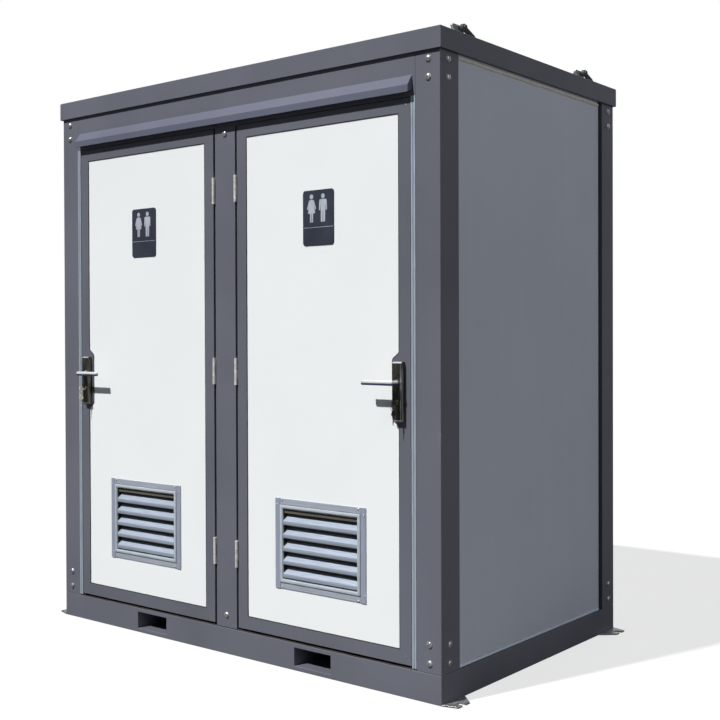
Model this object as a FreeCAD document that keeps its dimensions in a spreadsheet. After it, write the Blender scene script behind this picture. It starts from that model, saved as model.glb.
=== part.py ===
"""Double portable toilet cabin: bolted steel frame, two outward doors and two equipped cells.

Axes: X to the right seen from the doors, Y to the back, Z up.  The origin lies on the ground
under the middle of the cabin.  All sizes are millimetres.
"""
import FreeCAD, Part
import math
import os
import Sketcher

os.makedirs("parts", exist_ok=True)
doc = FreeCAD.newDocument("ToiletCabin")

# Driving dimensions, in the spreadsheet under the same names
DIMENSIONS = {
    # cabin outline
    "body_width": 2120, "body_depth": 1300, "base_height": 105, "roof_underside": 2275,
    "fascia_height": 75, "roof_overhang": 10, "frame_wall": 5, "roof_wall": 4,
    "base_flange": 60, "roof_flange": 70, "roof_sheet_thickness": 2, "ceiling_thickness": 20,
    # posts, mullion, header
    "post_width": 107, "front_post_depth": 114, "rear_post_depth": 103, "post_wall": 4,
    "mullion_width": 114, "mullion_depth": 60, "stop_lap": 25, "stop_thickness": 2,
    "header_wall": 3,
    # door opening and leaf
    "sheet_thickness": 3, "door_sill_gap": 10, "door_top_gap": 3, "header_height": 150,
    "door_thickness": 40, "hinge_gap": 11, "jamb_width": 19, "jamb_gap": 3, "jamb_depth": 46,
    "stile_width": 51, "rail_height": 50, "panel_recess": 2, "panel_thickness": 24,
    "lock_swell": 30, "lock_swell_straight": 214, "lock_shoulder": 23, "lock_shoulder_radius": 14,
    # louvre and sign
    "louvre_width": 452, "louvre_height": 350, "louvre_side": 38, "louvre_rail": 37,
    "louvre_plate": 4, "louvre_bottom": 189, "slat_count": 5, "slat_thickness": 2,
    "slat_pitch": 51, "slat_depth": 24, "slat_rise": 21, "slat_lip": 15, "slat_clearance": 5,
    "bead_width": 12, "bead_height": 3, "sign_width": 154, "sign_height": 208, "sign_thickness": 3,
    "sign_radius": 12, "sign_drop": 290,
    # lock set
    "lock_plate_width": 44, "lock_plate_height": 214, "lock_plate_thickness": 20,
    "inner_plate_thickness": 8, "plate_bevel": 6, "lock_inset": 47, "lock_level": 1085,
    "lever_rise": 32, "cylinder_drop": 38, "case_width": 62, "case_height": 170,
    "case_thickness": 16, "faceplate_height": 200, "faceplate_width": 22,
    "faceplate_thickness": 3, "lever_reach": 150, "lever_radius": 9.5, "neck_radius": 9,
    "lever_standoff": 55, "inner_standoff": 42, "spindle_radius": 5, "running_fit": 0.08,
    "latch_height": 18, "latch_thickness": 12, "latch_length": 28, "latch_nose": 1.8,
    "bolt_height": 30, "bolt_thickness": 10, "bolt_length": 30,
    "plug_radius": 6.5, "key_bow_radius": 12, "key_bow_thickness": 2.6, "key_shank": 20,
    "key_hole_radius": 3, "ring_radius": 11, "ring_wire": 1, "spare_length": 32,
    # hinges
    "hinge_radius": 6, "hinge_pin_radius": 3, "hinge_proud": 5, "hinge_length": 107,
    "hinge_knuckle": 27, "hinge_leaf_thickness": 2.5, "hinge_leaf_width": 33,
    "hinge_low": 412, "hinge_pitch": 730, "slip_gap": 0.3,
    # walls
    "wall_thickness": 40, "wall_recess": 4, "rear_channel": 33, "partition_thickness": 30,
    "trim_height": 10, "trim_thickness": 3, "seal_height": 10, "seal_drop": 9,
    # rain awning
    "awning_reach": 27, "awning_drop": 75, "awning_fall": 38, "awning_lip": 26,
    "awning_end": 120, "awning_wall": 2,
    # base frame
    "fork_pitch": 920, "fork_width": 184, "fork_height": 70, "fork_headroom": 0.5,
    "fork_wall": 4, "bearer_width": 40, "deck_thickness": 13,
    # anchor plates
    "anchor_length": 140, "anchor_reach": 60, "anchor_thickness": 6, "anchor_slot_width": 22,
    "anchor_slot_depth": 28, "anchor_slot_place": 52, "anchor_taper": 16,
    # frame bolts
    "bolt_head_radius": 12, "bolt_head_height": 7, "bolt_shank_radius": 6, "bolt_shank": 14,
    "bolt_edge": 50, "bolt_rise": 35, "bolt_upper_rise": 101, "bolt_drop": 29,
    "bolt_lower_drop": 93, "mullion_bolt_rise": 53, "mullion_bolt_drop": 29,
    # lifting gear
    "lift_edge": 60, "lift_front_y": 205, "lift_rear_y": 185, "lug_foot_length": 75,
    "lug_foot_width": 60, "lug_foot_thickness": 6, "lug_thickness": 10, "eye_height": 42,
    "lug_top": 9, "shackle_pin_radius": 6, "shackle_wire": 7, "shackle_leg": 66,
    "shackle_half_span": 18, "shackle_boss": 7, "shackle_rest_angle": 20,
    # cell fittings
    "pan_x": 500, "pan_width": 360, "pan_length": 470, "pan_height": 400, "foot_width": 230,
    "foot_length": 330, "pan_setback": 375, "bowl_wall": 42, "bowl_depth": 230,
    "shelf_width": 210, "shelf_thickness": 60, "cistern_width": 380, "cistern_depth": 160,
    "cistern_height": 350, "cistern_lid": 25, "button_radius": 20, "button_height": 16,
    "button_proud": 8, "seat_thickness": 18, "lid_thickness": 14, "seat_gap": 2,
    "seat_band": 62, "seat_pivot_setback": 18, "hinge_bar_radius": 6, "ear_width": 24,
    "pipe_radius": 55, "pipe_wall": 3, "pipe_level": 210, "pipe_out": 8, "light_length": 300,
    "light_width": 100, "light_height": 40,
}


class Size:
    """A length: the text that the document's expressions use and its present value."""

    def __init__(self, text, value):
        self.text = text
        self.value = value

    @staticmethod
    def of(other):
        return other if isinstance(other, Size) else Size(repr(other), other)

    def __add__(self, other):
        other = Size.of(other)
        return Size(f"({self.text} + {other.text})", self.value + other.value)

    def __sub__(self, other):
        other = Size.of(other)
        return Size(f"({self.text} - {other.text})", self.value - other.value)

    def __mul__(self, factor):
        return Size(f"({self.text} * {factor!r})", self.value * factor)

    def __truediv__(self, divisor):
        return Size(f"({self.text} / {divisor!r})", self.value / divisor)

    def __neg__(self):
        return Size(f"(0 - {self.text})", -self.value)


class Namespace:
    """Named sizes as attributes."""


def fill_sheet():
    """Write the driving dimensions to the spreadsheet and return them as sizes."""
    sheet = doc.addObject("Spreadsheet::Sheet", "Sizes")
    names = Namespace()
    for row, (name, value) in enumerate(DIMENSIONS.items(), start=1):
        sheet.set(f"A{row}", name)
        sheet.set(f"B{row}", str(value))
        sheet.setAlias(f"B{row}", name)
        setattr(names, name, Size(f"Sizes.{name}", value))
    doc.recompute()
    return names


s = fill_sheet()
AXES = ("x", "y", "z")
# Small round pieces that come many times are prisms with few sides
SHANK_SIDES = 4
BAR_SIDES = 8
KNUCKLE_SIDES = 12
BOW_SIDES = 16
OVAL_SIDES = 20
BOW_STEPS = 7
# The slope of a bolt's cap, in degrees
BOLT_TAPER = 35
TURNS = {
    "x": FreeCAD.Rotation(FreeCAD.Vector(0, 1, 0), 90),
    "-x": FreeCAD.Rotation(FreeCAD.Vector(0, 1, 0), -90),
    "y": FreeCAD.Rotation(FreeCAD.Vector(1, 0, 0), -90),
    "-y": FreeCAD.Rotation(FreeCAD.Vector(1, 0, 0), 90),
    "z": FreeCAD.Rotation(),
}


def bind(thing, prop, length):
    """Tie a property to a size of the spreadsheet."""
    thing.setExpression(prop, Size.of(length).text)


def place(thing, corner, rotation=None):
    """Put an object at a corner made of sizes, turned by a fixed rotation."""
    corner = [Size.of(c) for c in corner]
    turn = rotation or FreeCAD.Rotation()
    thing.Placement = FreeCAD.Placement(FreeCAD.Vector(*[c.value for c in corner]), turn)
    for axis, c in zip(AXES, corner):
        bind(thing, f"Placement.Base.{axis}", c)
    return thing


def block(name, x, y, z):
    """A box between two sizes on each axis."""
    box = doc.addObject("Part::Box", name)
    for prop, (low, high) in zip(("Length", "Width", "Height"), (x, y, z)):
        bind(box, prop, Size.of(high) - low)
    return place(box, (x[0], y[0], z[0]))


def rod(name, radius, start, axis, length):
    """A round bar from a start point along an axis."""
    bar = doc.addObject("Part::Cylinder", name)
    bind(bar, "Radius", radius)
    bind(bar, "Height", length)
    return place(bar, start, TURNS[axis])


def prism(name, sides, radius, start, axis, length):
    """A bar with a few flat sides from a start point along an axis."""
    bar = doc.addObject("Part::Prism", name)
    bar.Polygon = sides
    bind(bar, "Circumradius", radius)
    bind(bar, "Height", length)
    return place(bar, start, TURNS[axis])


def bore(name, radius, start, axis, length):
    """The tool for a hole whose flat sides just clear a round bar of this radius."""
    corner = Size.of(radius) / math.cos(math.pi / KNUCKLE_SIDES)
    return prism(name, KNUCKLE_SIDES, corner, start, axis, length)


def join(name, *pieces):
    """One solid out of touching pieces."""
    whole = doc.addObject("Part::MultiFuse", name)
    whole.Shapes = list(pieces)
    whole.Refine = True
    return whole


def cut(name, base, *tools):
    """A piece less its cutting tools."""
    tool = tools[0] if len(tools) == 1 else join(f"{name}_cuts", *tools)
    rest = doc.addObject("Part::Cut", name)
    rest.Base = base
    rest.Tool = tool
    rest.Refine = True
    return rest


def group(name, *pieces):
    """Separate solids that share one node."""
    held = doc.addObject("Part::Compound", name)
    held.Links = list(pieces)
    return held


def mirrored(name, source, normal=(1, 0, 0)):
    """The same piece on the other side of the middle plane."""
    twin = doc.addObject("Part::Mirroring", name)
    twin.Source = source
    twin.Base = FreeCAD.Vector(0, 0, 0)
    twin.Normal = FreeCAD.Vector(*normal)
    return twin


def draw_loop(sketch, points):
    """A closed outline in a sketch, with each corner held at its sizes."""
    corners = [FreeCAD.Vector(Size.of(u).value, Size.of(v).value, 0) for u, v in points]
    first = sketch.GeometryCount
    count = len(points)
    for i in range(count):
        sketch.addGeometry(Part.LineSegment(corners[i], corners[(i + 1) % count]), False)
    for i in range(count):
        follower = first + (i + 1) % count
        sketch.addConstraint(Sketcher.Constraint("Coincident", first + i, 2, follower, 1))
    for i, point in enumerate(points):
        for kind, length in zip(("DistanceX", "DistanceY"), point):
            length = Size.of(length)
            index = sketch.addConstraint(Sketcher.Constraint(kind, first + i, 1, length.value))
            sketch.setExpression(f"Constraints[{index}]", length.text)


def draw_line(sketch, points):
    """An open line in a sketch, with each corner held at its sizes."""
    corners = [FreeCAD.Vector(Size.of(u).value, Size.of(v).value, 0) for u, v in points]
    for start, end in zip(corners, corners[1:]):
        sketch.addGeometry(Part.LineSegment(start, end), False)
    last = len(corners) - 2
    for i in range(last):
        sketch.addConstraint(Sketcher.Constraint("Coincident", i, 2, i + 1, 1))
    for i, point in enumerate(points):
        line, corner = (i, 1) if i <= last else (last, 2)
        for kind, length in zip(("DistanceX", "DistanceY"), point):
            length = Size.of(length)
            index = sketch.addConstraint(
                Sketcher.Constraint(kind, line, corner, length.value))
            sketch.setExpression(f"Constraints[{index}]", length.text)


def start_sketch(body, name, plane, offset):
    """A sketch on one of the body's own origin planes, moved out by an offset."""
    sketch = body.newObject("Sketcher::SketchObject", name)
    role = {"xy": "XY_Plane", "xz": "XZ_Plane", "yz": "YZ_Plane"}[plane]
    origin = next(f for f in body.Origin.OriginFeatures if f.Role == role)
    sketch.AttachmentSupport = [(origin, "")]
    sketch.MapMode = "FlatFace"
    bind(sketch, "AttachmentOffset.Base.z", offset)
    return sketch


def extrusion(name, plane, loops, low, high):
    """A body padded from outlines between two levels on the plane's own axis."""
    body = doc.addObject("PartDesign::Body", name)
    # the xz plane faces the front, so its pad starts at the back
    offset = -Size.of(high) if plane == "xz" else Size.of(low)
    sketch = start_sketch(body, f"{name}_outline", plane, offset)
    for loop in loops:
        draw_loop(sketch, loop)
    pad = body.newObject("PartDesign::Pad", f"{name}_pad")
    pad.Profile = sketch
    bind(pad, "Length", Size.of(high) - low)
    body.Tip = pad
    sketch.Visibility = False
    return body


def rectangle(u, v):
    """The corners of an upright rectangle between two sizes each way."""
    return [(u[0], v[0]), (u[1], v[0]), (u[1], v[1]), (u[0], v[1])]


def fillet(body, radius, chosen):
    """Round the edges of the body's tip that the test picks."""
    doc.recompute()
    tip = body.Tip
    names = [f"Edge{i}" for i, e in enumerate(tip.Shape.Edges, start=1) if chosen(e)]
    feature = body.newObject("PartDesign::Fillet", f"{body.Name}_fillet")
    feature.Base = (tip, names)
    bind(feature, "Radius", radius)
    body.Tip = feature
    return body


def chamfer(body, width, chosen):
    """Bevel the edges of the body's tip that the test picks."""
    doc.recompute()
    tip = body.Tip
    names = [f"Edge{i}" for i, e in enumerate(tip.Shape.Edges, start=1) if chosen(e)]
    feature = body.newObject("PartDesign::Chamfer", f"{body.Name}_bevel")
    feature.Base = (tip, names)
    bind(feature, "Size", width)
    body.Tip = feature
    return body


def along(edge, axis):
    """Whether a straight edge runs along an axis."""
    run = edge.Vertexes[-1].Point - edge.Vertexes[0].Point
    others = [getattr(run, a) for a in AXES if a != axis]
    return all(abs(v) < 1e-6 for v in others) and run.Length > 1e-6


# Planes and levels that the pieces share
half_width = s.body_width / 2
front = -(s.body_depth / 2)
back = s.body_depth / 2
floor_top = s.base_height + s.sheet_thickness
post_inner = half_width - s.post_width
jamb_inner = post_inner - s.jamb_width
leaf_free = jamb_inner - s.jamb_gap
leaf_hinge = s.mullion_width / 2 + s.hinge_gap
leaf_back = front + s.door_thickness
leaf_bottom = floor_top + s.door_sill_gap
header_bottom = s.roof_underside - s.header_height
leaf_top = header_bottom - s.door_top_gap
stop_face = front + s.jamb_depth - s.stop_thickness
nodes = {}


def channel_ring(name, width, depth, bottom, height, web, flange):
    """A ring of channel section, open to the inside, from a box with two sizes of opening."""
    x, y = width / 2, depth / 2
    top = Size.of(bottom) + height
    ring = block(f"{name}_outer", (-x, x), (-y, y), (bottom, top))
    inside = block(f"{name}_inside", (-x + web, x - web), (-y + web, y - web),
                   (Size.of(bottom) + web, top - web))
    window = block(f"{name}_window", (-x + flange, x - flange), (-y + flange, y - flange),
                   (Size.of(bottom) - 1, top + 1))
    return cut(name, ring, inside, window)


def tube(name, x, y, z, wall, axis):
    """A box tube that is open at both ends of one axis."""
    spans = dict(zip(AXES, (x, y, z)))
    bore = {}
    for a, (low, high) in spans.items():
        reach = Size.of(-1) if a == axis else Size.of(wall)
        bore[a] = (Size.of(low) + reach, Size.of(high) - reach)
    return cut(name, block(f"{name}_bar", x, y, z), block(f"{name}_bore", *bore.values()))


def add_base():
    """Base frame with fork pockets, floor deck and the four anchor plates."""
    ring = channel_ring("base_ring", s.body_width, s.body_depth, 0, s.base_height,
                        s.frame_wall, s.base_flange)
    inner = back - s.frame_wall
    low, high = s.fork_pitch / 2 - s.fork_width / 2, s.fork_pitch / 2 + s.fork_width / 2
    deck_low = s.base_height - s.deck_thickness
    # the sleeves hang just under the deck
    top = deck_low - s.fork_headroom - s.fork_wall
    bottom = top - s.fork_height
    pocket = block("fork_pocket", (low, high), (front - 1, back + 1), (bottom, top))
    sleeve = block("fork_sleeve", (low - s.fork_wall, high + s.fork_wall), (-inner, inner),
                   (bottom - s.fork_wall, top + s.fork_wall))
    half = s.bearer_width / 2
    bearer = block("middle_bearer", (-half, half), (-inner, inner), (s.frame_wall, deck_low))
    hollow = block("bearer_bore", (-half + s.fork_wall, half - s.fork_wall), (-inner, inner),
                   (s.frame_wall + s.fork_wall, deck_low - s.fork_wall))
    welded = join("base_welded", ring, sleeve, mirrored("fork_sleeve_left", sleeve), bearer)
    nodes["base_frame"] = cut("base_frame", welded, pocket,
                              mirrored("fork_pocket_left", pocket), hollow)

    x, y = half_width - s.base_flange, back - s.base_flange
    board = block("deck_board", (-x, x), (-y, y), (deck_low, s.base_height))
    cover = block("deck_sheet", (-post_inner, post_inner),
                  (front + 1, back - s.wall_recess - s.wall_thickness),
                  (s.base_height, floor_top))
    side = half_width - s.wall_recess - s.wall_thickness
    wings = block("deck_sides", (-side, side), (front + s.front_post_depth,
                                                back - s.rear_post_depth),
                  (s.base_height, floor_top))
    nodes["floor_deck"] = join("floor_deck", board, cover, wings)

    # each plate narrows towards its outer edge, where a slot takes the ground anchor
    out = half_width + s.anchor_reach
    low = s.anchor_slot_place - s.anchor_slot_width / 2
    high = s.anchor_slot_place + s.anchor_slot_width / 2
    root = out - s.anchor_slot_depth
    outline = [(half_width, front), (out, front + s.anchor_taper), (out, front + low),
               (root, front + low), (root, front + high), (out, front + high),
               (out, front + s.anchor_length / 2 + s.anchor_taper),
               (half_width, front + s.anchor_length)]
    plate = extrusion("anchor_plate", "xy", [outline], 0, s.anchor_thickness)
    rear = mirrored("anchor_plate_rear", plate, (0, 1, 0))
    nodes["anchor_plates"] = group("anchor_plates", plate, rear,
                                   mirrored("anchor_plate_left", plate),
                                   mirrored("anchor_plate_rear_left", rear))


def frame_bolt(name, x, y, z, axis):
    """A round-head bolt in few faces: its tapered cap outside and its shank in the post."""
    shank = shank_bar(f"{name}_shank", x, y, z, axis)
    ring = doc.addObject("Part::RegularPolygon", f"{name}_rim")
    ring.Polygon = BAR_SIDES
    bind(ring, "Circumradius", s.bolt_head_radius)
    place(ring, (x, y, z), TURNS[axis])
    cap = doc.addObject("Part::Extrusion", f"{name}_cap")
    cap.Base = ring
    cap.DirMode = "Normal"
    cap.Solid = True
    cap.Reversed = True
    bind(cap, "LengthFwd", s.bolt_head_height)
    cap.TaperAngle = -BOLT_TAPER
    return join(name, cap, shank)


def shank_bar(name, x, y, z, axis):
    """The four-sided shank of a frame bolt, and the tool for the hole that it fills."""
    return prism(name, SHANK_SIDES, s.bolt_shank_radius, (x, y, z), axis, s.bolt_shank)


def add_posts():
    """Four box posts, the mullion between the doors, and the bolts that hold them."""
    low, high = s.base_height, s.roof_underside
    levels = {"low": low + s.bolt_rise, "low_upper": low + s.bolt_upper_rise,
              "high": high - s.bolt_drop, "high_lower": high - s.bolt_lower_drop}
    x = half_width - s.bolt_edge
    bolts, holes = {"front": [], "rear": []}, {"front": [], "rear": []}
    for end, edge, axis, y in (("front", front, "y", front + s.bolt_edge),
                               ("rear", back, "-y", back - s.bolt_edge)):
        for tag, z in levels.items():
            bolts[end].append(frame_bolt(f"bolt_{end}_{tag}", x, edge, z, axis))
            bolts[end].append(frame_bolt(f"bolt_{end}_side_{tag}", half_width, y, z, "-x"))
            holes[end].append(shank_bar(f"hole_{end}_{tag}", x, edge, z, axis))
            holes[end].append(shank_bar(f"hole_{end}_side_{tag}", half_width, y, z, "-x"))
    for end, y in (("front", (front, front + s.front_post_depth)),
                   ("rear", (back - s.rear_post_depth, back))):
        wall = s.post_wall
        section = [rectangle((post_inner, half_width), y),
                   rectangle((post_inner + wall, half_width - wall), (y[0] + wall, y[1] - wall))]
        post = extrusion(f"{end}_post_section", "xy", section, s.base_height, s.roof_underside)
        drilled = cut(f"{end}_right_post", post, *holes[end])
        nodes[f"{end}_right_post"] = drilled
        nodes[f"{end}_left_post"] = mirrored(f"{end}_left_post", drilled)

    half, wall, end = s.mullion_width / 2, s.header_wall, front + s.mullion_depth
    tip, stop = half + s.stop_lap, stop_face + s.stop_thickness
    outline = [(-half, front), (half, front), (half, stop_face), (tip, stop_face), (tip, stop),
               (half, stop), (half, end), (-half, end), (-half, stop), (-tip, stop),
               (-tip, stop_face), (-half, stop_face)]
    bore = rectangle((-half + wall, half - wall), (front + wall, end - wall))
    mullion = extrusion("mullion_section", "xy", [outline, bore], floor_top, header_bottom)
    rows = (("low", low + s.mullion_bolt_rise), ("high", header_bottom - s.mullion_bolt_drop))
    drill = [shank_bar(f"mullion_hole_{tag}", 0, front, z, "y") for tag, z in rows]
    nodes["door_mullion"] = cut("door_mullion", mullion, *drill)
    middle = [frame_bolt(f"bolt_mullion_{tag}", 0, front, z, "y") for tag, z in rows]
    right = bolts["front"] + bolts["rear"]
    left = [mirrored(f"{b.Name}_left", b) for b in right]
    nodes["frame_bolts"] = group("frame_bolts", *right, *left, *middle)


def add_roof():
    """Roof ring with its sheet and ceiling, the header over the doors and the rain awning."""
    wide, deep = s.body_width + s.roof_overhang * 2, s.body_depth + s.roof_overhang * 2
    nodes["roof_frame"] = channel_ring("roof_frame", wide, deep, s.roof_underside,
                                       s.fascia_height, s.roof_wall, s.roof_flange)
    roof_top = s.roof_underside + s.fascia_height
    x, y = wide / 2 - s.roof_wall, deep / 2 - s.roof_wall
    nodes["roof_sheet"] = block("roof_sheet", (-x, x), (-y, y),
                                (roof_top, roof_top + s.roof_sheet_thickness))
    bed = s.roof_underside + s.roof_wall
    nodes["ceiling_panel"] = block("ceiling_panel", (-half_width, half_width), (front, back),
                                   (bed, bed + s.ceiling_thickness))
    header = tube("header_tube", (-post_inner, post_inner), (front, front + s.mullion_depth),
                  (header_bottom, s.roof_underside), s.header_wall, "x")
    nodes["door_header"] = header

    top, nose = s.roof_underside - s.awning_drop, front - s.awning_reach
    knee = top - s.awning_fall
    foot, wall = knee - s.awning_lip, s.awning_wall
    end = half_width - s.awning_end
    section = [(front, top), (nose, knee), (nose, foot), (nose + wall, foot),
               (nose + wall, knee - wall), (front, top - wall * 2)]
    hood = extrusion("awning_hood", "yz", [section], -end, end)
    cheek = extrusion("awning_cheek", "yz", [[(front, top), (nose, knee), (nose, foot),
                                              (front, foot + s.awning_lip / 2)]],
                      end - wall, end)
    nodes["rain_awning"] = join("rain_awning", hood, cheek, mirrored("awning_cheek_left", cheek))


def add_walls():
    """Side, rear and partition walls with the trims along their edges."""
    face = half_width - s.wall_recess
    inner = face - s.wall_thickness
    y = (front + s.front_post_depth, back - s.rear_post_depth - s.rear_channel)
    z = (floor_top, s.roof_underside)
    side = block("right_wall_panel", (inner, face), y, z)
    nodes["right_wall_panel"] = side
    nodes["left_wall_panel"] = mirrored("left_wall_panel", side)
    rear_face = back - s.wall_recess
    rear_inner = rear_face - s.wall_thickness
    outlet = rod("outlet_hole", s.pipe_radius, (s.pan_x, rear_inner - 1,
                                                floor_top + s.pipe_level), "y",
                 s.wall_thickness + 2)
    rear = block("rear_wall", (-post_inner, post_inner), (rear_inner, rear_face), z)
    nodes["rear_wall_panel"] = cut("rear_wall_panel", rear, outlet,
                                   mirrored("outlet_hole_left", outlet))
    half = s.partition_thickness / 2
    nodes["partition_wall"] = block("partition_wall", (-half, half),
                                    (front + s.mullion_depth, rear_inner), z)
    lip = face + s.trim_thickness
    foot = block("foot_trim", (face, lip), y, (floor_top, floor_top + s.trim_height))
    seal_top = s.roof_underside - s.seal_drop
    seal = block("top_seal", (face, lip), y, (seal_top - s.seal_height, seal_top))
    channel = block("rear_channel_strip", (inner, face - s.seal_height),
                    (y[1], back - s.rear_post_depth), z)
    right = [foot, seal, channel]
    nodes["wall_trims"] = group("wall_trims", *right,
                                *[mirrored(f"{t.Name}_left", t) for t in right])

    # the closing jambs: a box that is slotted for the deadbolt, with a stop behind the leaf
    wall, end = s.stop_thickness, front + s.jamb_depth
    stop_tip = jamb_inner - s.stop_lap
    outline = [(post_inner, front), (post_inner, end), (stop_tip, end), (stop_tip, stop_face),
               (jamb_inner, stop_face), (jamb_inner, front)]
    bore = rectangle((jamb_inner + wall, post_inner - wall), (front + wall, end - wall))
    jamb = extrusion("jamb_section", "xy", [outline, bore], floor_top + s.sheet_thickness,
                     header_bottom)
    middle = front + s.door_thickness / 2
    z_bolt = s.lock_level - s.cylinder_drop
    slot = block("bolt_slot", (jamb_inner - 1, jamb_inner + wall + 1),
                 (middle - s.bolt_thickness / 2 - 2, middle + s.bolt_thickness / 2 + 2),
                 (z_bolt - s.bolt_height / 2 - 2, z_bolt + s.bolt_height / 2 + 2))
    slotted = cut("right_jamb", jamb, slot)
    nodes["door_jambs"] = group("door_jambs", slotted, mirrored("left_jamb", slotted))


def lock_swell_outline():
    """The opening of the door frame, which narrows around the lock."""
    hinge_side, free_side = leaf_hinge + s.stile_width, leaf_free - s.stile_width
    low, high = leaf_bottom + s.rail_height, leaf_top - s.rail_height
    swell = free_side - s.lock_swell
    middle = s.lock_level + 8
    up, down = middle + s.lock_swell_straight / 2, middle - s.lock_swell_straight / 2
    return [(hinge_side, low), (free_side, low), (free_side, down - s.lock_shoulder),
            (swell, down), (swell, up), (free_side, up + s.lock_shoulder),
            (free_side, high), (hinge_side, high)]


def near_swell(edge):
    """Whether an edge is one of the four that turn around the lock."""
    free_side = (leaf_free - s.stile_width).value
    swell = free_side - s.lock_swell.value
    x, z = edge.Vertexes[0].X, edge.Vertexes[0].Z
    far = s.lock_swell_straight.value / 2 + s.lock_shoulder.value + 1
    side = min(abs(x - free_side), abs(x - swell)) < 0.1
    return along(edge, "y") and side and abs(z - s.lock_level.value - 8) < far


def lock_bores(tag, spindle, plug, y0, y1):
    """The two round ways through a lock piece, for the spindle and for the key plug."""
    x = leaf_free - s.lock_inset
    ways = []
    for kind, radius, z in (("spindle", spindle, s.lock_level + s.lever_rise),
                            ("plug", plug, s.lock_level - s.cylinder_drop)):
        ways.append(bore(f"{tag}_{kind}_way", radius, (x, y0, z), "y", Size.of(y1) - y0))
    return ways


def add_door():
    """The right door leaf and what is fixed to it; the left one is its mirror image."""
    outline = rectangle((leaf_hinge, leaf_free), (leaf_bottom, leaf_top))
    frame = extrusion("leaf_frame", "xz", [outline, lock_swell_outline()], front, leaf_back)
    fillet(frame, s.lock_shoulder_radius, near_swell)
    middle = front + s.door_thickness / 2
    case_y = (middle - s.case_thickness / 2, middle + s.case_thickness / 2)
    case_x = (leaf_free - s.faceplate_thickness - s.case_width, leaf_free - s.faceplate_thickness)
    case_z = (s.lock_level - s.case_height / 2, s.lock_level + s.case_height / 2)
    plate_y = (middle - s.faceplate_width / 2, middle + s.faceplate_width / 2)
    plate_z = (s.lock_level - s.faceplate_height / 2, s.lock_level + s.faceplate_height / 2)
    mortise = block("lock_mortise", case_x, case_y, case_z)
    rebate = block("faceplate_rebate", (case_x[1], leaf_free), plate_y, plate_z)
    through = lock_bores("frame", s.neck_radius + 1, s.plug_radius + 2, front, leaf_back)
    right = {"door_frame": cut("right_door_frame", frame, mortise, rebate, *through)}

    hinge_side, free_side = leaf_hinge + s.stile_width, leaf_free - s.stile_width
    centre = (hinge_side + free_side) / 2
    face = front + s.panel_recess
    panel_back = face + s.panel_thickness
    infill = extrusion("leaf_panel", "xz", [lock_swell_outline()], face, panel_back)
    fillet(infill, s.lock_shoulder_radius, near_swell)
    low = leaf_bottom + s.louvre_bottom
    high = low + s.louvre_height
    x = (centre - s.louvre_width / 2, centre + s.louvre_width / 2)
    bore_x = (x[0] + s.louvre_side, x[1] - s.louvre_side)
    bore_z = (low + s.louvre_rail, high - s.louvre_rail)
    window = block("louvre_window", bore_x, (face - 1, panel_back + 1), bore_z)
    right["door_panel"] = cut("right_door_panel", infill, window)

    # a flange on the outside, a sleeve through the panel and sloping slats inside it
    wall = s.slat_thickness
    flange = extrusion("louvre_flange", "xz",
                       [rectangle(x, (low, high)), rectangle(bore_x, bore_z)],
                       face - s.louvre_plate, face)
    sleeve = extrusion("louvre_sleeve", "xz",
                       [rectangle(bore_x, bore_z),
                        rectangle((bore_x[0] + wall, bore_x[1] - wall),
                                  (bore_z[0] + wall, bore_z[1] - wall))],
                       face - s.louvre_plate - s.bead_height, panel_back)
    nose = face - s.louvre_plate + 1
    tail = nose + s.slat_depth
    foot = bore_z[0] + wall + s.slat_clearance
    knee = foot + s.slat_lip
    slat = extrusion("slat", "yz", [[(nose, foot), (nose + wall, foot),
                                     (nose + wall, knee - wall),
                                     (tail, knee - wall + s.slat_rise),
                                     (tail, knee + s.slat_rise), (nose, knee)]],
                     bore_x[0] + wall / 2, bore_x[1] - wall / 2)
    pattern = slat.newObject("PartDesign::LinearPattern", "slat_row")
    pattern.Originals = [slat.Tip]
    pattern.Direction = (slat.Tip.Profile[0], ["V_Axis"])
    bind(pattern, "Length", s.slat_pitch * (DIMENSIONS["slat_count"] - 1))
    pattern.Occurrences = DIMENSIONS["slat_count"]
    slat.Tip = pattern
    bead_x = (bore_x[0] - s.bead_width, bore_x[1] + s.bead_width)
    bead_z = (bore_z[0] - s.bead_width, bore_z[1] + s.bead_width)
    bead = extrusion("louvre_bead", "xz", [rectangle(bead_x, bead_z), rectangle(bore_x, bore_z)],
                     face - s.louvre_plate - s.bead_height, face - s.louvre_plate)
    right["louvre"] = join("right_louvre", flange, bead, sleeve, slat)

    x = (centre - s.sign_width / 2, centre + s.sign_width / 2)
    high = leaf_top - s.sign_drop
    sign = extrusion("right_door_sign", "xz", [rectangle(x, (high - s.sign_height, high))],
                     face - s.sign_thickness, face)
    right["door_sign"] = fillet(sign, s.sign_radius, lambda e: along(e, "y"))

    add_lock(right, middle, case_x, case_y, case_z, plate_y, plate_z)
    add_hinges(right)
    for kind, piece in right.items():
        nodes[f"right_{kind}"] = piece
        nodes[f"left_{kind}"] = mirrored(f"left_{kind}", piece)


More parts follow.
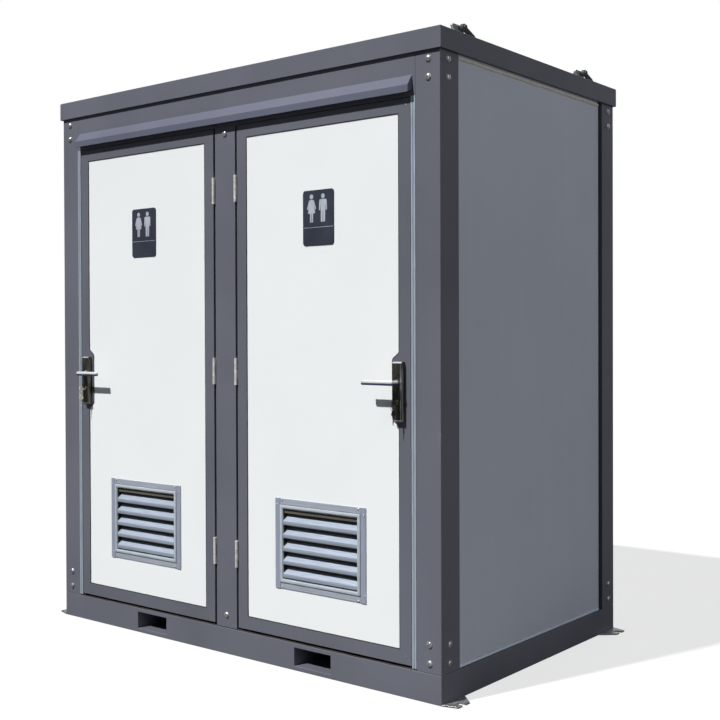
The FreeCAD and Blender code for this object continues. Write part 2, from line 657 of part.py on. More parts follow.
def add_lock(right, middle, case_x, case_y, case_z, plate_y, plate_z):
    """Lock plates, mortise case, lever, latch, key with its plug, deadbolt and the spare key."""
    x = leaf_free - s.lock_inset
    z_lever, z_plug = s.lock_level + s.lever_rise, s.lock_level - s.cylinder_drop
    wide = (x - s.lock_plate_width / 2, x + s.lock_plate_width / 2)
    tall = (s.lock_level - s.lock_plate_height / 2, s.lock_level + s.lock_plate_height / 2)
    outer_y, inner_y = front - s.lock_plate_thickness, leaf_back + s.inner_plate_thickness
    fit = s.running_fit
    outer = extrusion("outer_plate", "xz", [rectangle(wide, tall)], outer_y, front)
    chamfer(outer, s.plate_bevel,
            lambda e: all(abs(v.Y - outer_y.value) < 0.01 for v in e.Vertexes))
    inner = block("inner_plate", wide, (leaf_back, inner_y), tall)
    bores = [lock_bores("outer", s.neck_radius + fit, s.plug_radius + fit, outer_y, front),
             lock_bores("inner", s.neck_radius + fit, s.plug_radius + fit, leaf_back, inner_y)]
    right["lock_plates"] = group("right_lock_plates",
                                 cut("outer_plate_bored", outer, *bores[0]),
                                 cut("inner_plate_bored", inner, *bores[1]))

    edge = (case_x[1], leaf_free)
    latch_x = (leaf_free + s.latch_nose - s.latch_length, leaf_free + s.latch_nose)
    latch_y = (middle - s.latch_thickness / 2, middle + s.latch_thickness / 2)
    latch_z = (z_lever - s.latch_height / 2, z_lever + s.latch_height / 2)
    dead_x = (leaf_free - s.bolt_length, leaf_free)
    dead_y = (middle - s.bolt_thickness / 2, middle + s.bolt_thickness / 2)
    dead_z = (z_plug - s.bolt_height / 2, z_plug + s.bolt_height / 2)

    def widened(span):
        return (span[0] - fit, span[1] + fit)

    shell = join("case_shell", block("case_box", case_x, case_y, case_z),
                 block("faceplate", edge, plate_y, plate_z))
    tracks = [block("latch_track", (x + s.spindle_radius, leaf_free + 1), widened(latch_y),
                    widened(latch_z)),
              block("dead_track", (x + s.plug_radius, leaf_free + 1), widened(dead_y),
                    widened(dead_z))]
    ways = lock_bores("case", s.spindle_radius + fit, s.plug_radius + fit, case_y[0], case_y[1])
    right["lock_case"] = cut("right_lock_case", shell, *tracks, *ways)
    right["latch_bolt"] = block("right_latch_bolt", latch_x, latch_y, latch_z)
    right["deadbolt"] = block("right_deadbolt", dead_x, dead_y, dead_z)

    # both grips stand off their plate on a neck and point to the hinges
    grips = []
    reach = s.lever_reach
    for side, grip_y, neck_y in (
            ("outer", front - s.lever_standoff, (front - s.lever_standoff, front)),
            ("inner", leaf_back + s.inner_standoff, (leaf_back, leaf_back + s.inner_standoff))):
        grips.append(prism(f"{side}_neck", KNUCKLE_SIDES, s.neck_radius,
                           (x, neck_y[0], z_lever), "y", neck_y[1] - neck_y[0]))
        grips.append(prism(f"{side}_grip", KNUCKLE_SIDES, s.lever_radius,
                           (x - reach + s.lever_radius, grip_y, z_lever), "x", reach))
    spindle = rod("spindle", s.spindle_radius, (x, outer_y, z_lever), "y", inner_y - outer_y)
    right["lever"] = join("right_lever", spindle, *grips)

    plug = rod("key_plug", s.plug_radius, (x, outer_y - 1, z_plug), "y", inner_y - outer_y + 2)
    half = s.key_bow_thickness / 2
    bow_y = outer_y - 1 - s.key_shank
    shank = block("key_blade", (x - half, x + half), (bow_y, outer_y),
                  (z_plug - s.key_hole_radius, z_plug + s.key_hole_radius))
    bow = prism("key_bow", BOW_SIDES, s.key_bow_radius, (x - half, bow_y, z_plug), "x",
                s.key_bow_thickness)
    turn = block("thumb_turn", (x - half * 2, x + half * 2), (inner_y, inner_y + s.key_shank),
                 (z_plug - s.key_bow_radius, z_plug + s.key_bow_radius))
    eye_z = z_plug - s.key_bow_radius + s.key_hole_radius * 2
    eye = rod("key_eye", s.key_hole_radius, (x - half - 1, bow_y, eye_z), "x",
              s.key_bow_thickness + 2)
    right["key"] = cut("right_key", join("key_whole", plug, shank, bow, turn), eye)

    # the ring hangs on the lower edge of the key's eye and carries the spare key
    ring_z = eye_z - s.key_hole_radius + s.ring_wire + s.slip_gap * 2 - s.ring_radius
    ring_place = (x, bow_y - s.ring_wire, ring_z)
    ring = cut("key_ring",
               prism("ring_outside", BOW_SIDES, s.ring_radius + s.ring_wire, ring_place, "y",
                     s.ring_wire * 2),
               rod("ring_inside", s.ring_radius - s.ring_wire, ring_place, "y",
                   s.ring_wire * 2))
    low = ring_z - s.ring_radius
    spare_z = low - s.key_bow_radius + s.key_hole_radius * 2
    spare_bow = prism("spare_bow", BOW_SIDES, s.key_bow_radius,
                      (x - half, bow_y, spare_z - s.ring_wire), "x", s.key_bow_thickness)
    spare_blade = block("spare_blade", (x - half, x + half),
                        (bow_y - s.key_hole_radius, bow_y + s.key_hole_radius),
                        (spare_z - s.key_bow_radius - s.spare_length, spare_z))
    right["spare_key"] = join("right_spare_key", ring, spare_bow, spare_blade)


def add_hinges(right):
    """Three hinges to a door: a leaf with a middle knuckle on the door, and one on the mullion."""
    pin_x, pin_y = leaf_hinge - s.hinge_gap / 2, front - s.hinge_proud
    near = leaf_hinge
    moving, fixed = [], []
    flap_y = (front + s.hinge_radius / 3, front + s.hinge_radius / 3 + s.hinge_leaf_width)
    fixed_x = (s.mullion_width / 2, s.mullion_width / 2 + s.hinge_leaf_thickness)
    moving_x = (near - s.hinge_leaf_thickness, near)
    for i in range(3):
        middle = s.hinge_low + s.hinge_pitch * i
        low, high = middle - s.hinge_length / 2, middle + s.hinge_length / 2
        inner_low, inner_high = low + s.hinge_knuckle, high - s.hinge_knuckle
        barrel = prism(f"knuckle_{i}", KNUCKLE_SIDES, s.hinge_radius,
                       (pin_x, pin_y, inner_low), "z", inner_high - inner_low)
        pin_hole = bore(f"knuckle_bore_{i}", s.hinge_pin_radius + s.running_fit,
                        (pin_x, pin_y, low), "z", s.hinge_length)
        web = block(f"knuckle_web_{i}", moving_x, (pin_y, flap_y[0] + 1),
                    (inner_low, inner_high))
        flap = block(f"moving_flap_{i}", moving_x, flap_y, (low, high))
        whole = join(f"moving_whole_{i}", barrel, web, flap)
        moving.append(cut(f"moving_leaf_{i}", whole, pin_hole))
        pin = rod(f"hinge_pin_{i}", s.hinge_pin_radius, (pin_x, pin_y, low), "z", s.hinge_length)
        pieces = [pin, block(f"fixed_flap_{i}", fixed_x, flap_y, (low, high))]
        for tag, z0, z1 in (("low", low, inner_low - s.slip_gap),
                            ("high", inner_high + s.slip_gap, high)):
            pieces.append(prism(f"fixed_knuckle_{tag}_{i}", KNUCKLE_SIDES, s.hinge_radius,
                                (pin_x, pin_y, z0), "z", z1 - z0))
            pieces.append(block(f"fixed_web_{tag}_{i}", fixed_x, (pin_y, flap_y[0] + 1),
                                (z0, z1)))
        fixed.append(join(f"fixed_leaf_{i}", *pieces))
    right["door_hinges"] = group("right_door_hinges", *moving)
    nodes["fixed_hinge_leaves"] = group("fixed_hinge_leaves", *fixed,
                                        *[mirrored(f"{f.Name}_left", f) for f in fixed])


def oval(name, half_long, half_wide, x, y, z):
    """A level oval in equal turns of straight sides, longer towards the front and back."""
    sketch = doc.addObject("Sketcher::SketchObject", name)
    turns = [2 * math.pi * (i + 0.5) / OVAL_SIDES for i in range(OVAL_SIDES)]
    draw_loop(sketch, [(half_wide * math.cos(t), half_long * math.sin(t)) for t in turns])
    return place(sketch, (x, y, z))


def loft(name, *sections):
    """A solid skin that runs straight from each level section to the next."""
    skin = doc.addObject("Part::Loft", name)
    skin.Sections = list(sections)
    skin.Solid = True
    skin.Ruled = True
    return skin


def add_toilet():
    """One cell's pan, cistern, seat, lid, push button and waste pipe, and its ceiling light."""
    x = s.pan_x
    y = back - s.wall_recess - s.wall_thickness - s.pan_setback
    rear = back - s.wall_recess - s.wall_thickness
    rim = floor_top + s.pan_height
    length, wide = s.pan_length / 2, s.pan_width / 2
    # seat and lid share one pivot bar behind the bowl
    pivot_y = rear - s.cistern_depth - s.seat_pivot_setback
    pivot_z = rim + s.slip_gap + s.seat_thickness + s.seat_gap * 4
    outer = loft("pan_outside",
                 oval("pan_foot", s.foot_length / 2, s.foot_width / 2, x, y + 40, floor_top),
                 oval("pan_shoulder", length - 14, wide - 14, x, y,
                      floor_top + s.pan_height * 0.8),
                 oval("pan_rim", length, wide, x, y, rim))
    shelf = block("pan_shelf", (x - s.shelf_width / 2, x + s.shelf_width / 2), (y + 40, rear),
                  (rim - s.shelf_thickness, rim))
    spine = block("pan_spine", (x - s.shelf_width / 4, x + s.shelf_width / 4), (y + 60, rear),
                  (floor_top, rim - s.shelf_thickness))
    deep = rim - s.bowl_depth
    bowl = loft("pan_bowl",
                oval("bowl_floor", length * 0.35, wide * 0.35, x, y + 20, deep),
                oval("bowl_middle", length - s.bowl_wall * 1.6, wide - s.bowl_wall * 1.5, x,
                     y + 6, rim - s.bowl_depth * 0.5),
                oval("bowl_mouth", length - s.bowl_wall, wide - s.bowl_wall, x, y, rim + 1))
    pipe_z = floor_top + s.pipe_level
    socket = rod("pan_socket", s.pipe_radius, (x, rear - s.pipe_radius, pipe_z), "y",
                 s.pipe_radius + 1)
    ear_y = pivot_y - s.hinge_bar_radius - s.seat_gap, pivot_y + s.hinge_bar_radius + s.seat_gap
    ear = block("pan_ear", (x - s.ear_width / 2, x + s.ear_width / 2), ear_y,
                (rim - 1, pivot_z + s.hinge_bar_radius + s.seat_gap))
    ear_bore = rod("pan_ear_bore", s.hinge_bar_radius + s.running_fit,
                   (x - s.ear_width, pivot_y, pivot_z), "x", s.ear_width * 2)
    pan = cut("right_pan", join("pan_body", outer, shelf, spine, ear), bowl, socket, ear_bore)
    nodes["toilet_pans"] = group("toilet_pans", pan, mirrored("left_pan", pan))
    pipe_run = s.pipe_radius + s.wall_thickness + s.wall_recess + s.pipe_out
    start = (x, rear - s.pipe_radius, pipe_z)
    pipe = cut("right_pipe", rod("pipe_outside", s.pipe_radius, start, "y", pipe_run),
               rod("pipe_bore", s.pipe_radius - s.pipe_wall, start, "y", pipe_run + 1))
    nodes["waste_pipes"] = group("waste_pipes", pipe, mirrored("left_pipe", pipe))

    half = s.cistern_width / 2
    tank_y = (rear - s.cistern_depth, rear)
    top = rim + s.cistern_height
    tank = extrusion("tank", "xy", [rectangle((x - half, x + half), tank_y)], rim, top)
    fillet(tank, s.cistern_lid, lambda e: along(e, "z")
           and e.Vertexes[0].Y < (rear - s.cistern_depth / 2).value)
    button_y = rear - s.cistern_depth / 2
    fit = s.running_fit
    sink = top - (s.button_height - s.button_proud) - 6
    well = rod("button_well", s.button_radius + fit, (x, button_y, sink), "z", 40)
    filled = cut("right_cistern", tank, well)
    nodes["cisterns"] = group("cisterns", filled, mirrored("left_cistern", filled))
    button = prism("right_flush_button", BOW_SIDES, s.button_radius,
                   (x, button_y, top + s.button_proud - s.button_height), "z", s.button_height)

    seat_top = pivot_z - s.seat_gap * 4
    seat_low = seat_top - s.seat_thickness
    ring = loft("seat_outside", oval("seat_under", length, wide, x, y, seat_low),
                oval("seat_over", length - 4, wide - 4, x, y, seat_top))
    inner = (length - s.seat_band, wide - s.seat_band)
    hole = loft("seat_hole", oval("hole_under", *inner, x, y, seat_low - 1),
                oval("hole_over", *inner, x, y, seat_top + 1))
    reach = s.hinge_bar_radius + s.seat_gap
    trim = block("seat_trim", (x - wide, x + wide), (pivot_y - reach, rear), (rim, pivot_z + 99))
    arms, ears = [], []
    for tag, side in (("near", -1), ("far", 1)):
        at = x + s.shelf_width / 4 * side
        arms.append(block(f"seat_arm_{tag}", (at - 10, at + 10),
                          (pivot_y - s.seat_band, pivot_y), (seat_low, seat_top)))
        arms.append(prism(f"seat_knuckle_{tag}", KNUCKLE_SIDES,
                          s.hinge_bar_radius + s.seat_gap * 2,
                          (at - 10, pivot_y, pivot_z), "x", 20))
        arms.append(block(f"seat_lift_{tag}", (at - 10, at + 10),
                          (pivot_y - s.hinge_bar_radius, pivot_y), (seat_low, pivot_z)))
        ears.append(bore(f"seat_knuckle_bore_{tag}", s.hinge_bar_radius + fit,
                         (at - 11, pivot_y, pivot_z), "x", 22))
    seat = cut("right_toilet_seat", join("seat_whole", cut("seat_ring", ring, hole, trim), *arms),
               *ears)
    lid_y = pivot_y - s.seat_gap * 2
    lid_face = [rectangle((x - wide, x + wide), (pivot_z, pivot_z + s.pan_length - 30))]
    lid = extrusion("lid_board", "xz", lid_face, lid_y, lid_y + s.lid_thickness - 4)
    fillet(lid, wide * 0.7, lambda e: along(e, "y") and e.Vertexes[0].Z > pivot_z.value + 50)
    bar = rod("lid_bar", s.hinge_bar_radius, (x - s.shelf_width / 2 + 10, pivot_y, pivot_z), "x",
              s.shelf_width - 20)
    notches = [block(f"lid_notch_{tag}", (x + s.shelf_width / 4 * side - s.ear_width / 2 - 1,
                                          x + s.shelf_width / 4 * side + s.ear_width / 2 + 1),
                     (lid_y - 30, rear), (pivot_z - 20, pivot_z + 16))
               for tag, side in (("near", -1), ("middle", 0), ("far", 1))]
    cover = join("right_toilet_lid", cut("lid_notched", lid, *notches), bar)
    for kind, piece in (("toilet_seat", seat), ("toilet_lid", cover), ("flush_button", button)):
        nodes[f"right_{kind}"] = piece
        nodes[f"left_{kind}"] = mirrored(f"left_{kind}", piece)

    bed = s.roof_underside + s.roof_wall
    lamp = block("right_light", (x - s.light_length / 2, x + s.light_length / 2),
                 (-s.light_width / 2, s.light_width / 2), (bed - s.light_height, bed))
    nodes["ceiling_lights"] = group("ceiling_lights", lamp, mirrored("left_light", lamp))


def bow_path(name, x, y, z):
    """The middle line of a shackle's bar: a leg, a half circle in equal steps and a leg."""
    span, leg = s.shackle_half_span, s.shackle_leg
    sketch = doc.addObject("Sketcher::SketchObject", name)
    turns = [math.pi * i / BOW_STEPS for i in range(BOW_STEPS + 1)]
    points = [(span, 0)]
    points += [(span * math.cos(t), leg + span * math.sin(t)) for t in turns]
    points.append((-span, 0))
    draw_line(sketch, points)
    return place(sketch, (x, y, z))


def add_lifting_gear():
    """Four lugs on the roof, each with a shackle that lies back on the roof."""
    top = s.roof_underside + s.fascia_height + s.roof_sheet_thickness
    eye = top + s.eye_height
    feet = []
    spots = {"front": front + s.lift_front_y, "rear": back - s.lift_rear_y}
    for end, y in spots.items():
        x = half_width - s.lift_edge
        half = s.lug_foot_width / 2
        foot_top = top + s.lug_foot_thickness
        foot = block(f"{end}_lug_foot", (x - half, x + half),
                     (y - s.lug_foot_length * 0.3, y + s.lug_foot_length * 0.7), (top, foot_top))
        ear = [(y - 16, foot_top - 1), (y - 50, eye + 1), (y - 48, eye + s.lug_top),
               (y + 8, eye + s.lug_top), (y + 16, eye), (y + 44, foot_top - 1)]
        web = extrusion(f"{end}_lug_ear", "yz", [ear], x - s.lug_thickness / 2,
                        x + s.lug_thickness / 2)
        hole = rod(f"{end}_lug_bore", s.shackle_pin_radius + s.running_fit,
                   (x - half, y, eye), "x", s.lug_foot_width)
        lug = cut(f"{end}_lug", join(f"{end}_lug_whole", foot, web), hole)
        feet += [lug, mirrored(f"{end}_lug_left", lug)]

        span, wire = s.shackle_half_span, s.shackle_wire
        pin = prism(f"{end}_pin", KNUCKLE_SIDES, s.shackle_pin_radius,
                    (x - span - wire - 4, y, eye), "x", (span + wire + 4) * 2)
        bosses = [prism(f"{end}_boss_{tag}", KNUCKLE_SIDES,
                        s.shackle_pin_radius + s.shackle_boss,
                        (x + span * side - wire - 1, y, eye), "x", wire * 2 + 2)
                  for tag, side in (("near", -1), ("far", 1))]
        section = doc.addObject("Part::RegularPolygon", f"{end}_bar_section")
        section.Polygon = BAR_SIDES
        bind(section, "Circumradius", wire)
        place(section, (x + span, y, eye), TURNS["y"])
        bar = doc.addObject("Part::Sweep", f"{end}_bar")
        bar.Sections = [section]
        bar.Spine = (bow_path(f"{end}_bow_path", x, y, eye), [])
        bar.Transition = "Right corner"
        bar.Solid = True
        whole = join(f"{end}_shackle_level", pin, bar, *bosses)
        # the bow hangs down until it rests on the roof
        laid = doc.addObject("Part::Compound", f"{end}_right_shackle")
        laid.Links = [whole]
        turn = FreeCAD.Rotation(FreeCAD.Vector(1, 0, 0), -DIMENSIONS["shackle_rest_angle"])
        middle = FreeCAD.Vector(Size.of(x).value, y.value, eye.value)
        laid.Placement = FreeCAD.Placement(middle - turn.multVec(middle), turn)
        nodes[f"{end}_right_shackle"] = laid
        nodes[f"{end}_left_shackle"] = mirrored(f"{end}_left_shackle", laid)
    nodes["lifting_lugs"] = group("lifting_lugs", *feet)


add_base()
add_posts()
add_roof()
add_walls()
add_door()
add_toilet()
add_lifting_gear()
doc.recompute()

faulty = [o.Name for o in doc.Objects if "Invalid" in o.State or "Error" in o.State]
if faulty:
    raise RuntimeError("these objects don't compute: " + ", ".join(faulty))
for name, piece in nodes.items():
    shape = piece.Shape
    if shape.isNull() or not shape.isValid() or not shape.Solids:
        raise RuntimeError(f"{name} has no valid solid")
    shape.exportStep(f"parts/{name}.step")
print(len(nodes), "nodes written")
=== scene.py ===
"""Looks of the double toilet cabin: surface finishes, detail pieces, floor, lights and camera."""
import math

import bmesh
import bpy
from mathutils import Matrix, Vector


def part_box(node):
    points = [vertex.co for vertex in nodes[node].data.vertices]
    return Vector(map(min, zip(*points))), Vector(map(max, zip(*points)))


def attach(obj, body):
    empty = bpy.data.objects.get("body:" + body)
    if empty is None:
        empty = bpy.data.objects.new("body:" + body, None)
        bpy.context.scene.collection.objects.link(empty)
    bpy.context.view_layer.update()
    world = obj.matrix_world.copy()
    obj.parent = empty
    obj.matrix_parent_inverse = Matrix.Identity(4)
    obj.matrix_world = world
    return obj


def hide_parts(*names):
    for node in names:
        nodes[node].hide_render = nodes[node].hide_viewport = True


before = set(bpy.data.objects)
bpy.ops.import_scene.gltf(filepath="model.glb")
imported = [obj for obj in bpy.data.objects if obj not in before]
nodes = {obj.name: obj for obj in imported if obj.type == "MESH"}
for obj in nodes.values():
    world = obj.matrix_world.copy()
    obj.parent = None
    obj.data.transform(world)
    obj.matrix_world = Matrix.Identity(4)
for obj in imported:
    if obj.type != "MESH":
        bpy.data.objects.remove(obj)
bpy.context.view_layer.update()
SIDES = {"right": 1, "left": -1}
ROOT = "cabin"
MM = 0.001

# lowest and highest corners of CAD nodes, and places read from them, in metres
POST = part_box("front_right_post")
FRONT = POST[0].y
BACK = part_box("rear_right_post")[1].y
HALF_WIDTH = POST[1].x
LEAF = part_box("right_door_frame")
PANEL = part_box("right_door_panel")
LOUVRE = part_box("right_louvre")
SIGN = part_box("right_door_sign")
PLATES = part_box("right_lock_plates")
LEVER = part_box("right_lever")
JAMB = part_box("door_jambs")
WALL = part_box("right_wall_panel")
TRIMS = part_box("wall_trims")
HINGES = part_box("right_door_hinges")
PANEL_FACE = PANEL[0].y
LEVER_Z = (LEVER[0].z + LEVER[1].z) / 2


def linear(colour):
    """Screen values from 0 to 255 as the linear colour that shaders take."""
    channels = []
    for value in colour:
        v = value / 255
        channels.append(v / 12.92 if v <= 0.04045 else ((v + 0.055) / 1.055) ** 2.4)
    return (*channels, 1)


def add_node(tree, kind, inputs=None, **settings):
    """A node with its own settings, its inputs set to values or linked to sockets."""
    node = tree.nodes.new(kind)
    for name, value in settings.items():
        setattr(node, name, value)
    for name, value in (inputs or {}).items():
        if isinstance(value, bpy.types.NodeSocket):
            tree.links.new(value, node.inputs[name])
        else:
            node.inputs[name].default_value = value
    return node


class Finish:
    """A node material that is built up a layer at a time."""

    def __init__(self, name, roughness, metallic=0.0, **settings):
        self.material = bpy.data.materials.new(name)
        self.material.use_nodes = True
        self.tree = self.material.node_tree
        self.shader = self.tree.nodes["Principled BSDF"]
        self.shader.inputs["Roughness"].default_value = roughness
        self.shader.inputs["Metallic"].default_value = metallic
        for key, value in settings.items():
            socket = key if key.isupper() else key.replace("_", " ").title()
            self.shader.inputs[socket].default_value = value
        self.place = self.add("ShaderNodeTexCoord").outputs["Object"]
        self.height = None

    def add(self, kind, inputs=None, **settings):
        return add_node(self.tree, kind, inputs, **settings)

    def noise(self, scale, detail, stretch=(1, 1, 1), distortion=0.0):
        """A noise pattern in metres: scale is its number of features per metre."""
        mapping = self.add("ShaderNodeMapping", {"Scale": [scale * share for share in stretch],
                                                 "Vector": self.place})
        noise = self.add("ShaderNodeTexNoise", {"Scale": 1, "Detail": detail,
                                                "Distortion": distortion,
                                                "Vector": mapping.outputs["Vector"]})
        return noise.outputs["Fac"]

    def ramp(self, source, low, high, start=0.0, end=1.0):
        """A value between low and high as the source goes from start to end."""
        span = self.add("ShaderNodeMapRange", {"Value": source, "From Min": start,
                                               "From Max": end, "To Min": low, "To Max": high})
        return span.outputs["Result"]

    def axis(self, name):
        """One coordinate of the surface point, in metres."""
        return self.add("ShaderNodeSeparateXYZ", {"Vector": self.place}).outputs[name]

    def maths(self, operation, *values):
        """The outcome of a calculation with one or two values, numbers or sockets."""
        node = self.add("ShaderNodeMath", dict(enumerate(values)), operation=operation)
        return node.outputs["Value"]

    def mix(self, factor, first, second):
        """A colour that goes from first to second; either is a colour or a socket."""
        ends = [linear(c) if isinstance(c, tuple) else c for c in (first, second)]
        blend = self.add("ShaderNodeMix", {"Factor": factor, 6: ends[0], 7: ends[1]},
                         data_type="RGBA")
        return blend.outputs[2]

    def shades(self, source, colour, first, second, start, end):
        """A colour that goes from one share of it to another with the source."""
        return self.mix(self.ramp(source, 0, 1, start, end), shade(colour, first),
                        shade(colour, second))

    def dust(self, under, foot, top, scale, amount):
        """Specks of dust over a colour, which fade out between two heights in metres."""
        low = self.ramp(self.axis("Z"), 1, 0, foot, top)
        specks = self.ramp(self.noise(scale, 6), 0, amount, 0.4, 0.75)
        return self.mix(self.maths("MULTIPLY", low, specks), under, DUST_COLOUR)

    def colour(self, socket):
        self.tree.links.new(socket, self.shader.inputs["Base Color"])

    def rough(self, source, low, high):
        span = self.ramp(source, low, high, 0.3, 0.7)
        self.tree.links.new(span, self.shader.inputs["Roughness"])

    def bump(self, source, depth):
        """Relief of a real depth in millimetres, on top of the relief so far."""
        bump = self.add("ShaderNodeBump", {"Distance": depth * MM, "Height": source})
        if self.height:
            self.tree.links.new(self.height, bump.inputs["Normal"])
        self.height = bump.outputs["Normal"]
        self.tree.links.new(self.height, self.shader.inputs["Normal"])


def shade(colour, share):
    """A colour times a share, kept within the screen's range."""
    return tuple(min(255, c * share) for c in colour)


def powder_coat(name, colour, dust=0.02, roughness=0.42):
    """Powder-coated steel: fine orange peel, faint cloudiness, run marks and dust low down."""
    f = Finish(name, roughness, IOR=1.45)
    clouds = f.noise(1.6, 4)
    runs = f.noise(9, 3, (1, 1, 0.06))
    body = f.shades(clouds, colour, 0.965, 1.03, 0.35, 0.65)
    streaked = f.mix(f.ramp(runs, 0, 0.15, 0.52, 0.8), body, shade(colour, 1.12))
    f.colour(f.dust(streaked, 0.0, 0.3, 60, dust))
    f.rough(clouds, roughness - 0.05, roughness + 0.1)
    f.bump(f.noise(420, 2), 0.12)
    f.bump(f.noise(5, 2), 0.6)
    return f


def panel_coat(name, colour, inner, across, edge):
    """A sandwich wall: coated outside, white inside past a plane, and slightly wavy."""
    f = Finish(name, 0.38, IOR=1.45)
    clouds = f.noise(1.1, 4)
    runs = f.noise(14, 4, (1, 1, 0.04))
    body = f.shades(clouds, colour, 0.985, 1.015, 0.35, 0.65)
    streaked = f.mix(f.ramp(runs, 0, 0.12, 0.5, 0.8), body, shade(colour, 1.12))
    dusty = f.dust(streaked, 0.1, 0.55, 50, 0.06)
    inside = f.ramp(f.maths("ABSOLUTE", f.axis(across)), 1, 0, edge, edge + 1 * MM)
    f.colour(f.mix(inside, dusty, inner))
    f.rough(clouds, 0.32, 0.46)
    f.bump(f.noise(360, 2), 0.08)
    f.bump(f.noise(1.7, 2), 1.2)
    return f


def smooth_coat(name, colour, roughness):
    """Bright painted sheet with a faint waviness and light handling marks."""
    f = Finish(name, roughness, IOR=1.45)
    clouds = f.noise(2.2, 5)
    marks = f.noise(16, 6, (1, 1, 0.5), 1.2)
    body = f.shades(clouds, colour, 0.99, 1, 0.35, 0.68)
    f.colour(f.mix(f.ramp(marks, 0, 0.01, 0.6, 0.82), body, shade(colour, 0.9)))
    f.rough(marks, roughness - 0.02, roughness + 0.03)
    f.bump(f.noise(260, 2), 0.06)
    f.bump(f.noise(2.6, 2), 0.7)
    return f


def brushed(name, colour, along, roughness, metallic):
    """Aluminium or stainless steel with fine lines along one axis."""
    f = Finish(name, roughness, metallic)
    lines = f.noise(700, 3, tuple(0.02 if a == along else 1 for a in "XYZ"))
    clouds = f.noise(7, 4)
    body = f.shades(lines, colour, 0.93, 1.05, 0.3, 0.7)
    f.colour(f.mix(f.ramp(clouds, 0, 0.3, 0.5, 0.75), body, shade(colour, 0.84)))
    f.rough(lines, roughness - 0.08, roughness + 0.1)
    f.bump(lines, 0.06)
    return f


def galvanised(name, colour, roughness=0.45, metallic=0.75, contrast=0.12):
    """Zinc-coated steel: crystal patches of slightly different grey."""
    f = Finish(name, roughness, metallic)
    spangle = f.add("ShaderNodeTexVoronoi", {"Scale": SPANGLES_PER_METRE, "Vector": f.place})
    tone = f.add("ShaderNodeSeparateColor", {"Color": spangle.outputs["Color"]})
    body = f.mix(tone.outputs["Red"], shade(colour, 1 - contrast), shade(colour, 1.06))
    f.colour(f.mix(f.ramp(f.noise(24, 6), 0, 4 * contrast, 0.5, 0.75), body, shade(colour, 0.7)))
    f.rough(tone.outputs["Green"], roughness - 0.1, roughness + 0.12)
    f.bump(f.noise(300, 3), 0.12)
    return f


def polished(name, colour, roughness, metallic=1.0):
    """Chrome or plated metal with faint smears."""
    f = Finish(name, roughness, metallic)
    smears = f.noise(90, 5, (1, 1, 0.4), 0.6)
    f.colour(f.shades(smears, colour, 1, 0.88, 0.4, 0.7))
    f.rough(smears, roughness - 0.04, roughness + 0.1)
    f.bump(f.noise(600, 2), 0.03)
    return f


def satin_lever_painted_reflection(name, colour, under):
    """Satin plating, pale above the lever's axis and painted dark blue below it: a painted
    reflection of the dark ground.
    """
    f = Finish(name, 0.32, 0.3)
    smears = f.noise(90, 5, (1, 1, 0.4), 0.6)
    body = f.shades(smears, colour, 1, 0.92, 0.4, 0.7)
    # painted reflection: below the lever's axis the colour turns to the dark under-colour
    lower = f.ramp(f.axis("Z"), 1, 0, LEVER_Z - 2 * MM, LEVER_Z + 1 * MM)
    f.colour(f.mix(lower, body, under))
    f.rough(smears, 0.28, 0.42)
    f.bump(f.noise(600, 2), 0.03)
    return f


def dark_chrome_painted_sheen(name, dark, bright):
    """Worn dark plating with long upright smears; the smears' bright colour is painted sheen, and
    the dark colour is partly the plating's own and partly a painted reflection of dark
    surroundings.
    """
    f = Finish(name, 0.26, 0.9)
    smears = f.noise(60, 4, (1, 1, 0.1), 0.4)
    clouds = f.noise(22, 5, (1, 1, 0.5), 1.0)
    # painted sheen: the bright colour along the smears
    body = f.mix(f.ramp(smears, 0, 0.8, 0.45, 0.72), dark, bright)
    f.colour(f.mix(f.ramp(clouds, 0, 0.6, 0.5, 0.72), body, dark))
    f.rough(clouds, 0.18, 0.4)
    f.bump(f.noise(130, 3), 0.2)
    return f


def moulded(name, colour, roughness, grain=0.12):
    """Moulded plastic or rubber with a fine grain, its depth in millimetres."""
    f = Finish(name, roughness, IOR=1.46)
    clouds = f.noise(12, 4)
    f.colour(f.shades(clouds, colour, 0.95, 1.04, 0.35, 0.7))
    f.rough(clouds, roughness - 0.05, roughness + 0.08)
    f.bump(f.noise(900, 2), grain)
    return f


def glazed(name, colour):
    """Vitreous china: a clear glaze over a very slightly uneven body."""
    f = Finish(name, 0.12, IOR=1.5, coat_weight=0.6, coat_roughness=0.05)
    clouds = f.noise(6, 3)
    f.colour(f.shades(clouds, colour, 0.98, 1, 0.35, 0.7))
    f.rough(clouds, 0.08, 0.16)
    f.bump(f.noise(9, 2), 0.4)
    return f


def film_board(name, colour):
    """Film-faced floor board with its pressed wire pattern, worn in the middle of each cell."""
    f = Finish(name, 0.55, IOR=1.45)
    wires = []
    for axis in "XY":
        wave = f.maths("SINE", f.maths("MULTIPLY", f.axis(axis), 2 * math.pi / WIRE_PITCH))
        wires.append(f.ramp(wave, 0, 1, 0.55, 1))
    grid = f.maths("MAXIMUM", *wires)
    wear = f.noise(8, 6, (1, 1, 1), 0.8)
    body = f.shades(wear, colour, 0.8, 1.35, 0.38, 0.7)
    f.colour(f.mix(f.ramp(grid, 0, 0.35), body, shade(colour, 1.6)))
    f.rough(wear, 0.42, 0.68)
    f.bump(grid, 0.4)
    return f


def sealant_bead(name, colour):
    """Gunned sealant: a lumpy line that varies a little in colour."""
    f = Finish(name, 0.6)
    lumps = f.noise(45, 4)
    f.colour(f.shades(lumps, colour, 0.93, 1.04, 0.3, 0.7))
    f.bump(lumps, 0.8)
    return f


SPANGLES_PER_METRE = 90
WIRE_PITCH = 6 * MM
# distance from the cabin's middle where the walls' white inside starts
INSIDE_X = 1030 * MM
INSIDE_Y = 620 * MM
